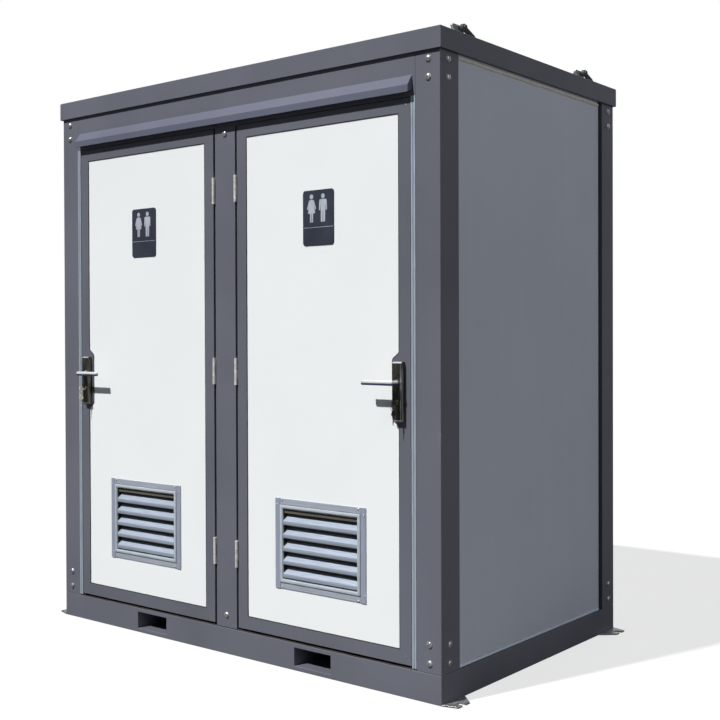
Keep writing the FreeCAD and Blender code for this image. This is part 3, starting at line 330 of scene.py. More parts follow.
# colours are screen values from 0 to 255
DUST_COLOUR = (160, 158, 156)
FRAME_COLOUR = (98, 101, 112)
WALL_COLOUR = (184, 192, 205)
INNER_WHITE = (226, 228, 228)
LOOKS = {
    "frame": powder_coat("frame_paint", FRAME_COLOUR),
    "awning": powder_coat("awning_paint", (92, 96, 113), 0.0),
    "side_wall": panel_coat("side_wall_paint", WALL_COLOUR, INNER_WHITE, "X", INSIDE_X),
    "rear_wall": panel_coat("rear_wall_paint", WALL_COLOUR, INNER_WHITE, "Y", INSIDE_Y),
    "inner_white": smooth_coat("inner_white_sheet", INNER_WHITE, 0.4),
    "door_white": smooth_coat("door_white_sheet", (235, 239, 241), 0.3),
    "door_frame": powder_coat("door_frame_paint", shade(FRAME_COLOUR, 0.98)),
    "bare_aluminium": brushed("bare_aluminium", (200, 212, 226), "Z", 0.34, 0.55),
    # the trim's bright bluish colour is a painted reflection of the sky
    "trim_aluminium": brushed("trim_aluminium", (214, 232, 255), "Y", 0.3, 0.1),
    "jamb_seal": moulded("jamb_seal_rubber", (104, 112, 126), 0.6),
    "channel": moulded("wall_channel", (44, 46, 52), 0.5),
    "sealant": sealant_bead("roof_sealant", (200, 197, 188)),
    "louvre_post": brushed("louvre_post_metal", (156, 163, 182), "Z", 0.4, 0.2),
    "louvre_rail": brushed("louvre_rail_metal", (168, 176, 190), "X", 0.4, 0.2),
    "louvre_bead": brushed("louvre_bead_metal", (190, 199, 209), "X", 0.38, 0.2),
    "louvre_slat": brushed("louvre_slat_metal", (160, 171, 188), "X", 0.4, 0.2),
    # near-black sleeve colour: painted shade in the reveal
    "louvre_sleeve": moulded("louvre_sleeve_painted_shade", (40, 36, 31), 0.75),
    "louvre_back": moulded("louvre_back_mesh", (88, 83, 75), 0.8),
    "screw": galvanised("screw_zinc", (226, 228, 232), 0.3),
    "sign": moulded("sign_plate", (50, 55, 68), 0.38, 0.05),
    "sign_mark": moulded("sign_marks", (172, 177, 190), 0.5, 0.03),
    "gasket": moulded("door_gasket", (34, 35, 38), 0.7),
    "bolt": galvanised("bolt_zinc", (196, 198, 200), 0.3),
    "steel": galvanised("galvanised_steel", (172, 175, 178)),
    "roof": galvanised("roof_zinc", (150, 155, 162), 0.5, 0.35, 0.04),
    "hinge": galvanised("hinge_steel", (220, 220, 217), 0.42, 0.2, 0.1),
    # dark plating, partly a painted reflection, with painted sheen along its smears
    "lock_cover": dark_chrome_painted_sheen("lock_cover_plating", (70, 68, 60), (176, 174, 164)),
    "chrome": polished("lever_chrome", (226, 230, 238), 0.3, 0.75),
    # the lever's lower half carries a painted reflection of the dark ground, in dark blue
    "lever": satin_lever_painted_reflection("lever_satin_painted_reflection", (236, 239, 244), (70, 78, 108)),
    "lock_steel": brushed("lock_steel", (176, 176, 174), "Z", 0.34, 0.95),
    "brass": polished("cylinder_brass", (206, 176, 96), 0.25),
    "left_key": polished("key_nickel", (232, 226, 212), 0.34, 0.2),
    "right_key": moulded("key_cover", (44, 46, 52), 0.3, 0.04),
    "shackle": powder_coat("shackle_paint", (58, 60, 66), 0.0, 0.5),
    "floor_board": film_board("floor_board", (50, 46, 43)),
    "ceramic": glazed("pan_glaze", (238, 238, 234)),
    "cistern": moulded("cistern_plastic", (232, 234, 234), 0.2, 0.02),
    "seat": moulded("seat_plastic", (228, 230, 231), 0.22, 0.02),
    "pipe": moulded("waste_pipe_plastic", (112, 114, 118), 0.42),
    "lamp": moulded("lamp_cover", (240, 241, 238), 0.45, 0.06),
}


def soften(obj, radius):
    """Rounds an object's sharp edges, as folded or cast metal has them; radius in millimetres."""
    weld = obj.modifiers.new("weld", "WELD")
    weld.merge_threshold = WELD_REACH
    bevel = obj.modifiers.new("bevel", "BEVEL")
    bevel.width = radius * MM
    bevel.segments = 2
    bevel.limit_method = "ANGLE"
    bevel.angle_limit = math.radians(SHARP_ANGLE)
    obj.modifiers.new("normals", "WEIGHTED_NORMAL")
    obj.data.shade_smooth()


# a look, the radius of softened edges in millimetres, and nodes; SIDE is right and left
NODE_FINISHES = (
    ("frame", 2.2, "base_frame front_SIDE_post rear_SIDE_post"),
    ("frame", 1.0, "roof_frame door_mullion door_header"),
    ("awning", 0.7, "rain_awning"),
    ("side_wall", 1.0, "SIDE_wall_panel"),
    ("rear_wall", 1.0, "rear_wall_panel"),
    ("inner_white", 1.0, "ceiling_panel partition_wall"),
    ("floor_board", 0.8, "floor_deck"),
    ("roof", 0.6, "roof_sheet"),
    ("steel", 0.8, "anchor_plates"),
    ("steel", 1.2, "lifting_lugs"),
    ("bare_aluminium", 0.5, "door_jambs"),
    ("hinge", 0.5, "fixed_hinge_leaves SIDE_door_hinges"),
    ("pipe", 0.6, "waste_pipes"),
    ("cistern", 4, "cisterns"),
    ("lamp", 5, "ceiling_lights"),
    ("ceramic", 3, "toilet_pans"),
    ("door_frame", 1.2, "SIDE_door_frame"),
    ("door_white", 0.6, "SIDE_door_panel"),
    ("lock_steel", 0.4, "SIDE_lock_case"),
    ("lock_steel", 0.8, "SIDE_deadbolt"),
    ("brass", 0.8, "SIDE_latch_bolt"),
    ("seat", 3, "SIDE_toilet_seat"),
    ("seat", 2.5, "SIDE_toilet_lid"),
    ("chrome", 1.5, "SIDE_flush_button"),
)
WELD_REACH = 0.01 * MM
SHARP_ANGLE = 35


def finish_nodes():
    """The CAD nodes that stay: what each is painted or plated with."""
    for look, radius, names in NODE_FINISHES:
        for name in names.split():
            for side in SIDES if "SIDE" in name else [""]:
                obj = nodes[name.replace("SIDE", side)]
                obj.data.materials.clear()
                obj.data.materials.append(LOOKS[look].material)
                soften(obj, radius)


# mesh building

JOIN_REACH = 1e-7


def in_mm(*pairs):
    """Pairs of sizes in millimetres, as metres."""
    return [(a * MM, b * MM) for a, b in pairs]


def merge(bm):
    """Joins the points that lie on each other."""
    bmesh.ops.remove_doubles(bm, verts=bm.verts, dist=JOIN_REACH)


def add_box(bm, low, high):
    """A box between two corners."""
    corners = [Vector((x, y, z)) for x in (low[0], high[0]) for y in (low[1], high[1])
               for z in (low[2], high[2])]
    verts = [bm.verts.new(c) for c in corners]
    for face in ((0, 1, 3, 2), (4, 6, 7, 5), (0, 4, 5, 1), (2, 3, 7, 6), (0, 2, 6, 4),
                 (1, 5, 7, 3)):
        bm.faces.new([verts[i] for i in face])


def skin(bm, rings, caps=True):
    """Faces between rings of points, and over the first and last ring."""
    rows = [[bm.verts.new(p) for p in ring] for ring in rings]
    for below, above in zip(rows, rows[1:]):
        for i in range(len(below)):
            j = (i + 1) % len(below)
            bm.faces.new((below[i], below[j], above[j], above[i]))
    if caps:
        bm.faces.new(list(reversed(rows[0])))
        bm.faces.new(rows[-1])


def stack(bm, layers, to_point, caps=True):
    """Faces over outlines of two coordinates, each at its level of the third."""
    skin(bm, [[to_point(u, v, w) for u, v in outline] for outline, w in layers], caps=caps)


def add_prism(bm, outline, low, high, to_point):
    """An outline raised between two levels."""
    stack(bm, [(outline, low), (outline, high)], to_point)


def on_front(u, v, w):
    """Outline in x and z, raised along y."""
    return Vector((u, w, v))


def on_side(u, v, w):
    """Outline in y and z, raised along x."""
    return Vector((w, u, v))


def add_frame_prism(bm, outer, inner, low, high, to_point):
    """A raised band between an outer and an inner outline of as many points."""
    stack(bm, [(outer, low), (outer, high), (inner, high), (inner, low), (outer, low)], to_point,
          caps=False)
    merge(bm)


def polar(centre, radius, angle):
    """The point of a circle at an angle in radians."""
    return centre[0] + radius * math.cos(angle), centre[1] + radius * math.sin(angle)


def arc(centre, radius, start, end, steps):
    """Points along an arc, angles in degrees."""
    return [polar(centre, radius, math.radians(start + (end - start) * i / steps))
            for i in range(steps + 1)]


def circle(centre, radius, steps):
    """Points round a circle."""
    return [polar(centre, radius, 2 * math.pi * i / steps) for i in range(steps)]


def spread(box, across, up):
    """Lowest and highest x and z of a node, moved outwards by two distances."""
    return (box[0].x - across, box[0].z - up), (box[1].x + across, box[1].z + up)


def rectangle(corners, reach):
    """A rectangle round two corners, moved outwards by a reach."""
    (x0, z0), (x1, z1) = corners
    x0, z0, x1, z1 = x0 - reach, z0 - reach, x1 + reach, z1 + reach
    return [(x0, z0), (x1, z0), (x1, z1), (x0, z1)]


def rounded(low, high, radius, steps=6):
    """A rectangle with round corners, from its lowest and highest corner."""
    (x0, z0), (x1, z1) = low, high
    return (arc((x1 - radius, z0 + radius), radius, -90, 0, steps)
            + arc((x1 - radius, z1 - radius), radius, 0, 90, steps)
            + arc((x0 + radius, z1 - radius), radius, 90, 180, steps)
            + arc((x0 + radius, z0 + radius), radius, 180, 270, steps))


def add_lathe(bm, stations, centre, axis, steps, radius_at=None):
    """A turned form: stations of distance along the axis and radius."""
    turn = Vector((0, 0, 1)).rotation_difference(Vector(axis)).to_matrix()
    rings = []
    for along, radius in stations:
        ring = []
        for i in range(steps):
            a = 2 * math.pi * i / steps
            r = radius_at(radius, a) if radius_at else radius
            ring.append(Vector(centre) + turn @ Vector((*polar((0, 0), r, a), along)))
        rings.append(ring)
    skin(bm, rings)


def add_tube(bm, path, radii, sides, up=(0, 0, 1), flat=1.0, closed=False):
    """A round or oval bar along a path of points, with one radius for each."""
    rings = []
    count = len(path)
    for i, point in enumerate(path):
        ahead = path[(i + 1) % count] if closed or i + 1 < count else point
        behind = path[i - 1] if closed or i else point
        run = (Vector(ahead) - Vector(behind)).normalized()
        side = run.cross(Vector(up)).normalized()
        lift = side.cross(run).normalized()
        ring = []
        for k in range(sides):
            a = 2 * math.pi * k / sides
            ring.append(Vector(point) + side * radii[i] * math.cos(a)
                        + lift * radii[i] * flat * math.sin(a))
        rings.append(ring)
    if closed:
        rings.append(rings[0])
    skin(bm, rings, caps=not closed)
    if closed:
        merge(bm)


def place(name, data):
    """A new object of the scene."""
    obj = bpy.data.objects.new(name, data)
    bpy.context.scene.collection.objects.link(obj)
    return obj


def place_mesh(name, bm):
    """A new object of the scene from a mesh that has been built."""
    mesh = bpy.data.meshes.new(name)
    bm.to_mesh(mesh)
    bm.free()
    return place(name, mesh)


def make_piece(name, body, slot, look, build, side=1, bevel=None, smooth=SHARP_ANGLE):
    """One piece of the scene; build fills a mesh for the right side, and side -1 mirrors it."""
    bm = bmesh.new()
    build(bm)
    if side < 0:
        bmesh.ops.scale(bm, vec=(-1, 1, 1), verts=bm.verts)
    bmesh.ops.recalc_face_normals(bm, faces=bm.faces)
    obj = place_mesh(name, bm)
    obj.data.materials.append(LOOKS[look].material)
    obj.data.shade_smooth()
    obj.data.set_sharp_from_angle(angle=math.radians(smooth))
    if bevel:
        soften(obj, bevel)
    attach(obj, body)
    return obj


def one_side(side, name, build, look, slot=None, replaces=None, body="SIDE_door", **options):
    """A piece of one side, which SIDE in its look, body or replaced node stands for."""
    obj = make_piece(f"{side}_{name}", body.replace("SIDE", side), slot,
                     look.replace("SIDE", side), build, SIDES[side], **options)
    if replaces:
        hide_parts(replaces.replace("SIDE", side))


def both_sides(*piece, **options):
    """A right piece and its mirror image."""
    for side in SIDES:
        one_side(side, *piece, **options)


# doors: frame, lock, lever, the white panel's narrowing round the lock, and hinge screws

STILE = 51 * MM
RAIL = 50 * MM
LOCK_X = (PLATES[0].x + PLATES[1].x) / 2
LOCK_Z = (PLATES[0].z + PLATES[1].z) / 2
PLUG_Z = LEVER_Z - 70 * MM
LEVER_TIP = 753 * MM
LEVER_DEPTH = 13 * MM
LEVER_HEIGHT = 18.6 * MM
LEVER_FULLNESS = 0.6
SWELL_DEPTH = 30 * MM
SWELL_HALF = 107 * MM
SWELL_Z = LOCK_Z + 8 * MM
SHOULDER = 23 * MM
SHOULDER_RADIUS = 14 * MM
HINGE_LEVELS = (412 * MM, 1142 * MM, 1872 * MM)
HINGE_SCREW_PITCH = 40 * MM


def round_corner(before, corner, after, radius, steps=5):
    """The points of the arc that rounds a corner of an outline."""
    a = (Vector(before) - Vector(corner)).normalized()
    b = (Vector(after) - Vector(corner)).normalized()
    half = a.angle(b) / 2
    set_back = radius / math.tan(half)
    centre = Vector(corner) + (a + b).normalized() * (radius / math.sin(half))
    start = Vector(corner) + a * set_back - centre
    end = Vector(corner) + b * set_back - centre
    turn = start.angle_signed(end)
    return [tuple(centre + Matrix.Rotation(-turn * i / steps, 2) @ start)
            for i in range(steps + 1)]


def swell_outline():
    """The white panel's outline, which narrows round the lock."""
    (hinge_side, low), (free_side, high) = spread(LEAF, -STILE, -RAIL)
    swell = free_side - SWELL_DEPTH
    down, up = SWELL_Z - SWELL_HALF, SWELL_Z + SWELL_HALF
    sharp = [(free_side, low), (free_side, down - SHOULDER), (swell, down), (swell, up),
             (free_side, up + SHOULDER), (free_side, high)]
    points = [(hinge_side, low), (free_side, low)]
    for before, corner, after in zip(sharp, sharp[1:], sharp[2:]):
        points += round_corner(before, corner, after, SHOULDER_RADIUS)
    return points + [(free_side, high), (hinge_side, high)]


def inset(outline, distance):
    """An outline that runs anticlockwise, moved inwards."""
    points = [Vector(point) for point in outline]
    moved = []
    for before, point, after in zip(points[-1:] + points, points, points[1:] + points[:1]):
        a, b = (point - before).normalized(), (after - point).normalized()
        na, nb = Vector((-a.y, a.x)), Vector((-b.y, b.x))
        mean = (na + nb).normalized()
        moved.append(tuple(point + mean * (distance / max(mean.dot(na), 0.3))))
    return moved


def gasket(bm):
    """The rubber bead between the door frame and the white panel."""
    outline = swell_outline()
    add_frame_prism(bm, outline, inset(outline, 3.5 * MM), PANEL_FACE - 1.2 * MM,
                    PANEL_FACE + 0.5 * MM, on_front)


def rivet_spots(bm):
    """Three pop rivets on the door frame's closing side: one high up and two low down."""
    top, foot = LEAF[1].z, LEAF[0].z
    for edge, z in ((20, top - 26 * MM), (24, foot + 30 * MM), (14, foot + 16 * MM)):
        add_lathe(bm, in_mm((0, 2.6), (0.6, 2.4), (1.1, 1.2)),
                  (LEAF[1].x - edge * MM, LEAF[0].y, z), (0, -1, 0), 12)


def hinge_screws(bm):
    """Countersunk screws that hold each hinge leaf to the edge of the door."""
    x, y = HINGES[1].x - 2.5 * MM, FRONT + 22 * MM
    for level in HINGE_LEVELS:
        for z in (level - HINGE_SCREW_PITCH, level, level + HINGE_SCREW_PITCH):
            add_lathe(bm, in_mm((0, 3.6), (0.5, 3.2), (0.7, 1.0)), (x, y, z), (-1, 0, 0), 12)


# louvre

LOUVRE_SIDE = 38 * MM
LOUVRE_RAIL = 37 * MM
BEAD_WIDTH = 12 * MM
BEAD_HEIGHT = 3 * MM
PLATE_DEPTH = 4 * MM
STRIP_GAP = 1.4 * MM
SLATS = 5
SLAT_PITCH = 51 * MM
SLAT_SHEET = 1.6 * MM
WINDOW = spread(LOUVRE, -LOUVRE_SIDE, -LOUVRE_RAIL)
STRIP_EDGE = BEAD_WIDTH + STRIP_GAP
STRIP_FACE = PANEL_FACE - PLATE_DEPTH


def louvre_posts(bm):
    """The upright strips of the flange, which run the full height."""
    (x0, _), (x1, _) = WINDOW
    for low, high in ((LOUVRE[0].x, x0 - STRIP_EDGE), (x1 + STRIP_EDGE, LOUVRE[1].x)):
        add_box(bm, (low, STRIP_FACE, LOUVRE[0].z), (high, PANEL_FACE, LOUVRE[1].z))


def louvre_rails(bm):
    """The level strips of the flange, which fit between the upright ones."""
    (x0, z0), (x1, z1) = WINDOW
    seam = 1 * MM
    low_x, high_x = x0 - STRIP_EDGE + seam, x1 + STRIP_EDGE - seam
    for low, high in ((LOUVRE[0].z + seam, z0 - STRIP_EDGE), (z1 + STRIP_EDGE, LOUVRE[1].z - seam)):
        add_box(bm, (low_x, STRIP_FACE + seam, low), (high_x, PANEL_FACE, high))


def louvre_seam(bm):
    """The dark joint that shows between the strips and the bead."""
    add_frame_prism(bm, rectangle(WINDOW, STRIP_EDGE + 2 * MM), rectangle(WINDOW, 2 * MM),
                    PANEL_FACE - 1 * MM, PANEL_FACE + 0.5 * MM, on_front)


def louvre_bead(bm):
    """The raised inner frame, mitred at its corners, with a thin wall inside the window."""
    top = STRIP_FACE - BEAD_HEIGHT
    wall = 2 * MM
    steps = ((BEAD_WIDTH, PANEL_FACE), (BEAD_WIDTH - 0.5 * MM, top + 1 * MM),
             (BEAD_WIDTH - 2 * MM, top), (2.5 * MM, top), (0.8 * MM, top + 0.8 * MM),
             (0, top + 2.5 * MM), (0, PANEL_FACE), (-wall, PANEL_FACE), (-wall, top + 2.5 * MM))
    stack(bm, [(rectangle(WINDOW, reach), y) for reach, y in steps + steps[:1]], on_front,
          caps=False)
    merge(bm)


def louvre_sleeve(bm):
    """The sleeve through the door, seen as a thin line round the window; its dark colour is painted
    shade in the window's reveal.
    """
    add_frame_prism(bm, rectangle(WINDOW, 2 * MM), rectangle(WINDOW, -1 * MM),
                    PANEL_FACE - 2.5 * MM, LOUVRE[1].y, on_front)


def mesh_fold(bm):
    """The brown edge of the insect mesh, folded down behind the top of the window."""
    (x0, _), (x1, z1) = WINDOW
    y = PANEL_FACE + 3 * MM
    add_box(bm, (x0 + 1 * MM, y, z1 - 20 * MM), (x1 - 1 * MM, y + 0.6 * MM, z1 - 1 * MM))


def slat_section():
    """One slat from the side: an upright lip with a hem, and a blade that slopes up inside."""
    nose = STRIP_FACE + 1 * MM
    lip, rise, depth = 15 * MM, 21 * MM, 24 * MM
    bend = round_corner((nose, 0), (nose, lip), (nose + depth, lip + rise), 3.5 * MM, 4)
    face = [(nose, 1 * MM)] + bend + [(nose + depth, lip + rise)]
    t = SLAT_SHEET
    slope = math.atan2(rise, depth)
    back = [(nose + depth + t * math.sin(slope) * 0.5, lip + rise - t)]
    knee = round_corner((nose + depth, lip + rise - t), (nose + t, lip - t * 0.4), (nose + t, 0),
                        2.5 * MM, 4)
    hem = [(nose + t, 5 * MM), (nose + 2 * t, 4.6 * MM), (nose + 2 * t, 0.6 * MM),
           (nose + 1.4 * t, 0), (nose + 0.6 * MM, 0)]
    return face + back + knee + hem


def slats(bm):
    """The sloping blades, evenly spaced from the bottom."""
    (x0, z0), (x1, _) = WINDOW
    foot = z0 + 7 * MM
    for i in range(SLATS):
        section = [(y, z + foot + SLAT_PITCH * i) for y, z in slat_section()]
        add_prism(bm, section, x0 + 0.5 * MM, x1 - 0.5 * MM, on_side)


def louvre_mesh(bm):
    """The dark insect mesh behind the slats."""
    (x0, z0), (x1, z1) = WINDOW
    y = PANEL[1].y - 2 * MM
    add_box(bm, (x0 - 1 * MM, y, z0 - 1 * MM), (x1 + 1 * MM, y + 0.8 * MM, z1 + 1 * MM))


def louvre_screws(bm):
    """Two pan-head screws at each corner, one on each strip."""
    edge, along_side, along_rail = 7 * MM, 27 * MM, 36 * MM
    for x_end, x_sign in ((LOUVRE[0].x, 1), (LOUVRE[1].x, -1)):
        for z_end, z_sign in ((LOUVRE[0].z, 1), (LOUVRE[1].z, -1)):
            for x, z in ((edge, along_side), (along_rail, edge)):
                add_lathe(bm, in_mm((0, 4), (0.9, 3.7), (1.8, 2.4), (2.1, 1.2), (1.2, 0.9)),
                          (x_end + x * x_sign, STRIP_FACE, z_end + z * z_sign), (0, -1, 0), 16)


# sign

SIGN_BEVEL = 0.8 * MM
SIGN_RADIUS = 12 * MM
FIGURE_HEIGHT = 106 * MM
# right halves of the figures' bodies: half width and depth under the top, as shares of the height
WOMAN = [(0.07, 0.20), (0.12, 0.23), (0.215, 0.52), (0.165, 0.55), (0.10, 0.33), (0.17, 0.68),
         (0.075, 0.68), (0.07, 1.0), (0.012, 1.0), (0.008, 0.68)]
MAN = [(0.13, 0.20), (0.175, 0.24), (0.185, 0.58), (0.135, 0.60), (0.115, 0.33), (0.105, 0.60),
       (0.095, 1.0), (0.015, 1.0), (0.008, 0.62)]


def sign_plate(bm):
    """The rounded plate with a bevelled edge."""
    layers = []
    for y, shrink in ((SIGN[1].y, 0), (SIGN[0].y + SIGN_BEVEL, 0), (SIGN[0].y, SIGN_BEVEL)):
        layers.append((rounded(*spread(SIGN, -shrink, -shrink), SIGN_RADIUS - shrink), y))
    stack(bm, layers, on_front)


def figure(x, top, half):
    """The outlines of a standing figure: a round head, and a body that half is one side of."""
    mirrored = [(-u, v) for u, v in half]
    body = mirrored[:1] + half + mirrored[:0:-1]
    head = circle((0, 0.09), 0.085, 20)
    return [[(x + u * FIGURE_HEIGHT, top - v * FIGURE_HEIGHT) for u, v in outline]
            for outline in (head, body)]


def sign_marks(bm, mirrored=False):
    """The two figures and the line under them; the band below it stays bare."""
    face, sunk = SIGN[0].y, 0.1 * MM
    width = SIGN[1].x - SIGN[0].x
    top, line = SIGN[1].z - 15 * MM, SIGN[1].z - 141 * MM
    for half, share in ((WOMAN, 0.29), (MAN, 0.66)):
        x = SIGN[0].x + width * (1 - share if mirrored else share)
        for outline in figure(x, top, half):
            add_prism(bm, outline, face - 0.5 * MM, face + sunk, on_front)
    add_box(bm, (SIGN[0].x + 1.5 * MM, face - 0.3 * MM, line),
            (SIGN[1].x - 1.5 * MM, face + sunk, line + 1.4 * MM))


# locks

# share of a cover's bevel at its sides, and the collars' shapes
SIDE_BEVEL = 0.4
ROSE = in_mm((-2, 14), (1.5, 14), (3, 12.5), (3, 9.3), (-2, 9.3))
PLUG_ROSE = in_mm((-2, 11), (1, 11), (2, 10), (2, 6.8), (-2, 6.8))


def bevelled_plate(bm, y_back, y_front, edge, drop):
    """A lock cover: a flat face inside a bevel, wide above and below and narrow at the sides."""
    layers = []
    for y, shrink in ((y_back, 0), (y_front + drop, 0), (y_front, edge)):
        corner = max(4 * MM - shrink / 2, 1 * MM)
        layers.append((rounded(*spread(PLATES, -shrink * SIDE_BEVEL, -shrink), corner, 3), y))
    stack(bm, layers, on_front)


def outer_cover(bm):
    """The lock cover outside."""
    bevelled_plate(bm, FRONT, PLATES[0].y + 0.4 * MM, 5 * MM, 5 * MM)


def inner_cover(bm):
    """The flatter lock cover inside."""
    bevelled_plate(bm, LEAF[1].y, PLATES[1].y, 3 * MM, -3 * MM)


def cover_highlight_edges(bm):
    """Bright strips on the outer cover, above, below and a line down its free side: worn polished
    edges, and a painted highlight where light catches the bevel.
    """
    y, side = PLATES[0].y, 1.5 * MM
    (x0, foot), (x1, top) = spread(PLATES, 0, 0)
    upper = [(y + u, top - v) for u, v in in_mm((4.2, 0), (4.6, 0.2), (0, 5.2), (-0.4, 5.2))]
    lower = [(y + u, foot + v) for u, v in in_mm((-0.4, 5), (0, 5), (0, 6.8), (-0.4, 6.8))]
    for section in (upper, lower):
        add_prism(bm, section, x0 + side, x1 - side, on_side)
    add_box(bm, (x1 - 6.2 * MM, y - 0.2 * MM, foot + 9 * MM),
            (x1 - 5.4 * MM, y + 0.4 * MM, top - 9 * MM))


def roses(bm):
    """The round collars of the lever and the cylinder, outside and inside."""
    for y, out in ((PLATES[0].y, -1), (PLATES[1].y, 1)):
        add_lathe(bm, ROSE, (LOCK_X, y, LEVER_Z), (0, out, 0), 36)
        add_lathe(bm, PLUG_ROSE, (LOCK_X, y, PLUG_Z), (0, out, 0), 32)


def lever_section(share):
    """The lever's cross-section at a share of its size: a bar with well rounded edges."""
    def fuller(value):
        return math.copysign(abs(value) ** LEVER_FULLNESS, value)
    deep, tall = LEVER_DEPTH / 2 * share, LEVER_HEIGHT / 2 * share
    return [(deep * fuller(u), tall * fuller(v)) for u, v in circle((0, 0), 1, 24)]


def lever_grip(bm, y, root):
    """A flat lever with a square end, whose head sits on a round neck."""
    add_lathe(bm, [(0, 9 * MM), (abs(y - root), 8 * MM)], (LOCK_X, root, LEVER_Z),
              (0, 1 if y > root else -1, 0), 28)
    head, tip = LOCK_X + 9.2 * MM, LEVER_TIP
    spots = ((head, 0.7), (head - 1 * MM, 0.92), (head - 3 * MM, 1), ((head + tip) / 2, 0.96),
             (tip + 2 * MM, 0.94), (tip + 0.5 * MM, 0.88), (tip, 0.72))
    skin(bm, [[Vector((x, y + u, LEVER_Z + v)) for u, v in lever_section(share)]
              for x, share in spots])


def lever(bm):
    """Both levers on their spindle."""
    lever_grip(bm, LEVER[0].y + 9.5 * MM, PLATES[0].y + 2 * MM)
    lever_grip(bm, LEVER[1].y - 9.5 * MM, PLATES[1].y - 2 * MM)
    add_lathe(bm, [(0, 5 * MM), (PLATES[1].y - PLATES[0].y, 5 * MM)],
              (LOCK_X, PLATES[0].y, LEVER_Z), (0, 1, 0), 4)


def key_plug(bm):
    """The cylinder's brass plug, bevelled at both ends."""
    low, length = PLATES[0].y - 1 * MM, PLATES[1].y - PLATES[0].y + 2 * MM
    bevel, wide, narrow = 0.4 * MM, 6.5 * MM, 6.0 * MM
    add_lathe(bm, [(0, narrow), (bevel, wide), (length - bevel, wide), (length, narrow)],
              (LOCK_X, low, PLUG_Z), (0, 1, 0), 32)


# the keys' bows, and the ring through the eye
KEY_Y = PLATES[0].y - 21 * MM
BOW = 12 * MM
BOW_HOLE = 3 * MM
BOW_STEPS = 36
RING_RADIUS = 11 * MM
RING_WIRE = 0.55 * MM
EYE_Z = PLUG_Z - BOW + 2 * BOW_HOLE
RING_Z = EYE_Z - BOW_HOLE + 1.3 * MM - RING_RADIUS


def add_bow(bm, centre_z, eye_z, angle, half):
    """A key's flat bow with three lobes, drilled for the ring; angle turns the lobes."""
    outline = []
    for i in range(BOW_STEPS):
        a = 2 * math.pi * i / BOW_STEPS
        radius = BOW * (0.9 + 0.09 * math.cos(3 * a))
        outline.append(polar((KEY_Y, centre_z), radius, a + angle))
    hole = circle((KEY_Y, eye_z), BOW_HOLE, BOW_STEPS)
    add_frame_prism(bm, outline, hole, LOCK_X - half, LOCK_X + half, on_side)


def key_in_lock(bm):
    """The key that is in the cylinder: a drilled bow and the shank up to the plug."""
    half = 1.2 * MM
    add_bow(bm, PLUG_Z, EYE_Z, 0, half)
    add_box(bm, (LOCK_X - half * 0.8, KEY_Y + BOW * 0.8, PLUG_Z - 3 * MM),
            (LOCK_X + half * 0.8, PLATES[0].y, PLUG_Z + 3 * MM))


def thumb_turn(bm):
    """The thumb turn on the inside."""
    y = PLATES[1].y
    outline = rounded((y + 1 * MM, PLUG_Z - 12 * MM), (y + 20 * MM, PLUG_Z + 12 * MM), 5 * MM, 5)
    add_prism(bm, outline, LOCK_X - 2.4 * MM, LOCK_X + 2.4 * MM, on_side)


def key_ring(bm):
    """The split ring through the key's eye: two turns of wire side by side."""
    for shift in (-0.5 * MM, 0.5 * MM):
        path = [Vector((x, KEY_Y + shift, z)) for x, z in circle((LOCK_X, RING_Z), RING_RADIUS, 40)]
        add_tube(bm, path, [RING_WIRE] * len(path), 8, (0, 1, 0), closed=True)


def spare_key(bm):
    """The spare key on the ring: bow, shoulder and a blade cut with teeth."""
    half = 1.1 * MM
    hang = RING_Z - RING_RADIUS
    centre_z = hang - BOW + 2 * BOW_HOLE - 1 * MM
    add_bow(bm, centre_z, hang - 0.6 * MM, math.pi / 2, half)
    top, bottom = centre_z - BOW * 0.8, centre_z - BOW - 31 * MM
    cuts = in_mm((2.6, 0), (2.6, 8), (0.9, 10), (1.9, 12.5), (0.2, 15), (1.5, 17), (0.6, 20),
                 (2, 23), (0.9, 26))
    outline = [(KEY_Y + u, top - v) for u, v in cuts]
    outline += [(KEY_Y - 1 * MM, bottom), (KEY_Y - 2.8 * MM, bottom + 3 * MM),
                (KEY_Y - 2.8 * MM, top)]
    add_prism(bm, outline, LOCK_X - half * 0.8, LOCK_X + half * 0.8, on_side)


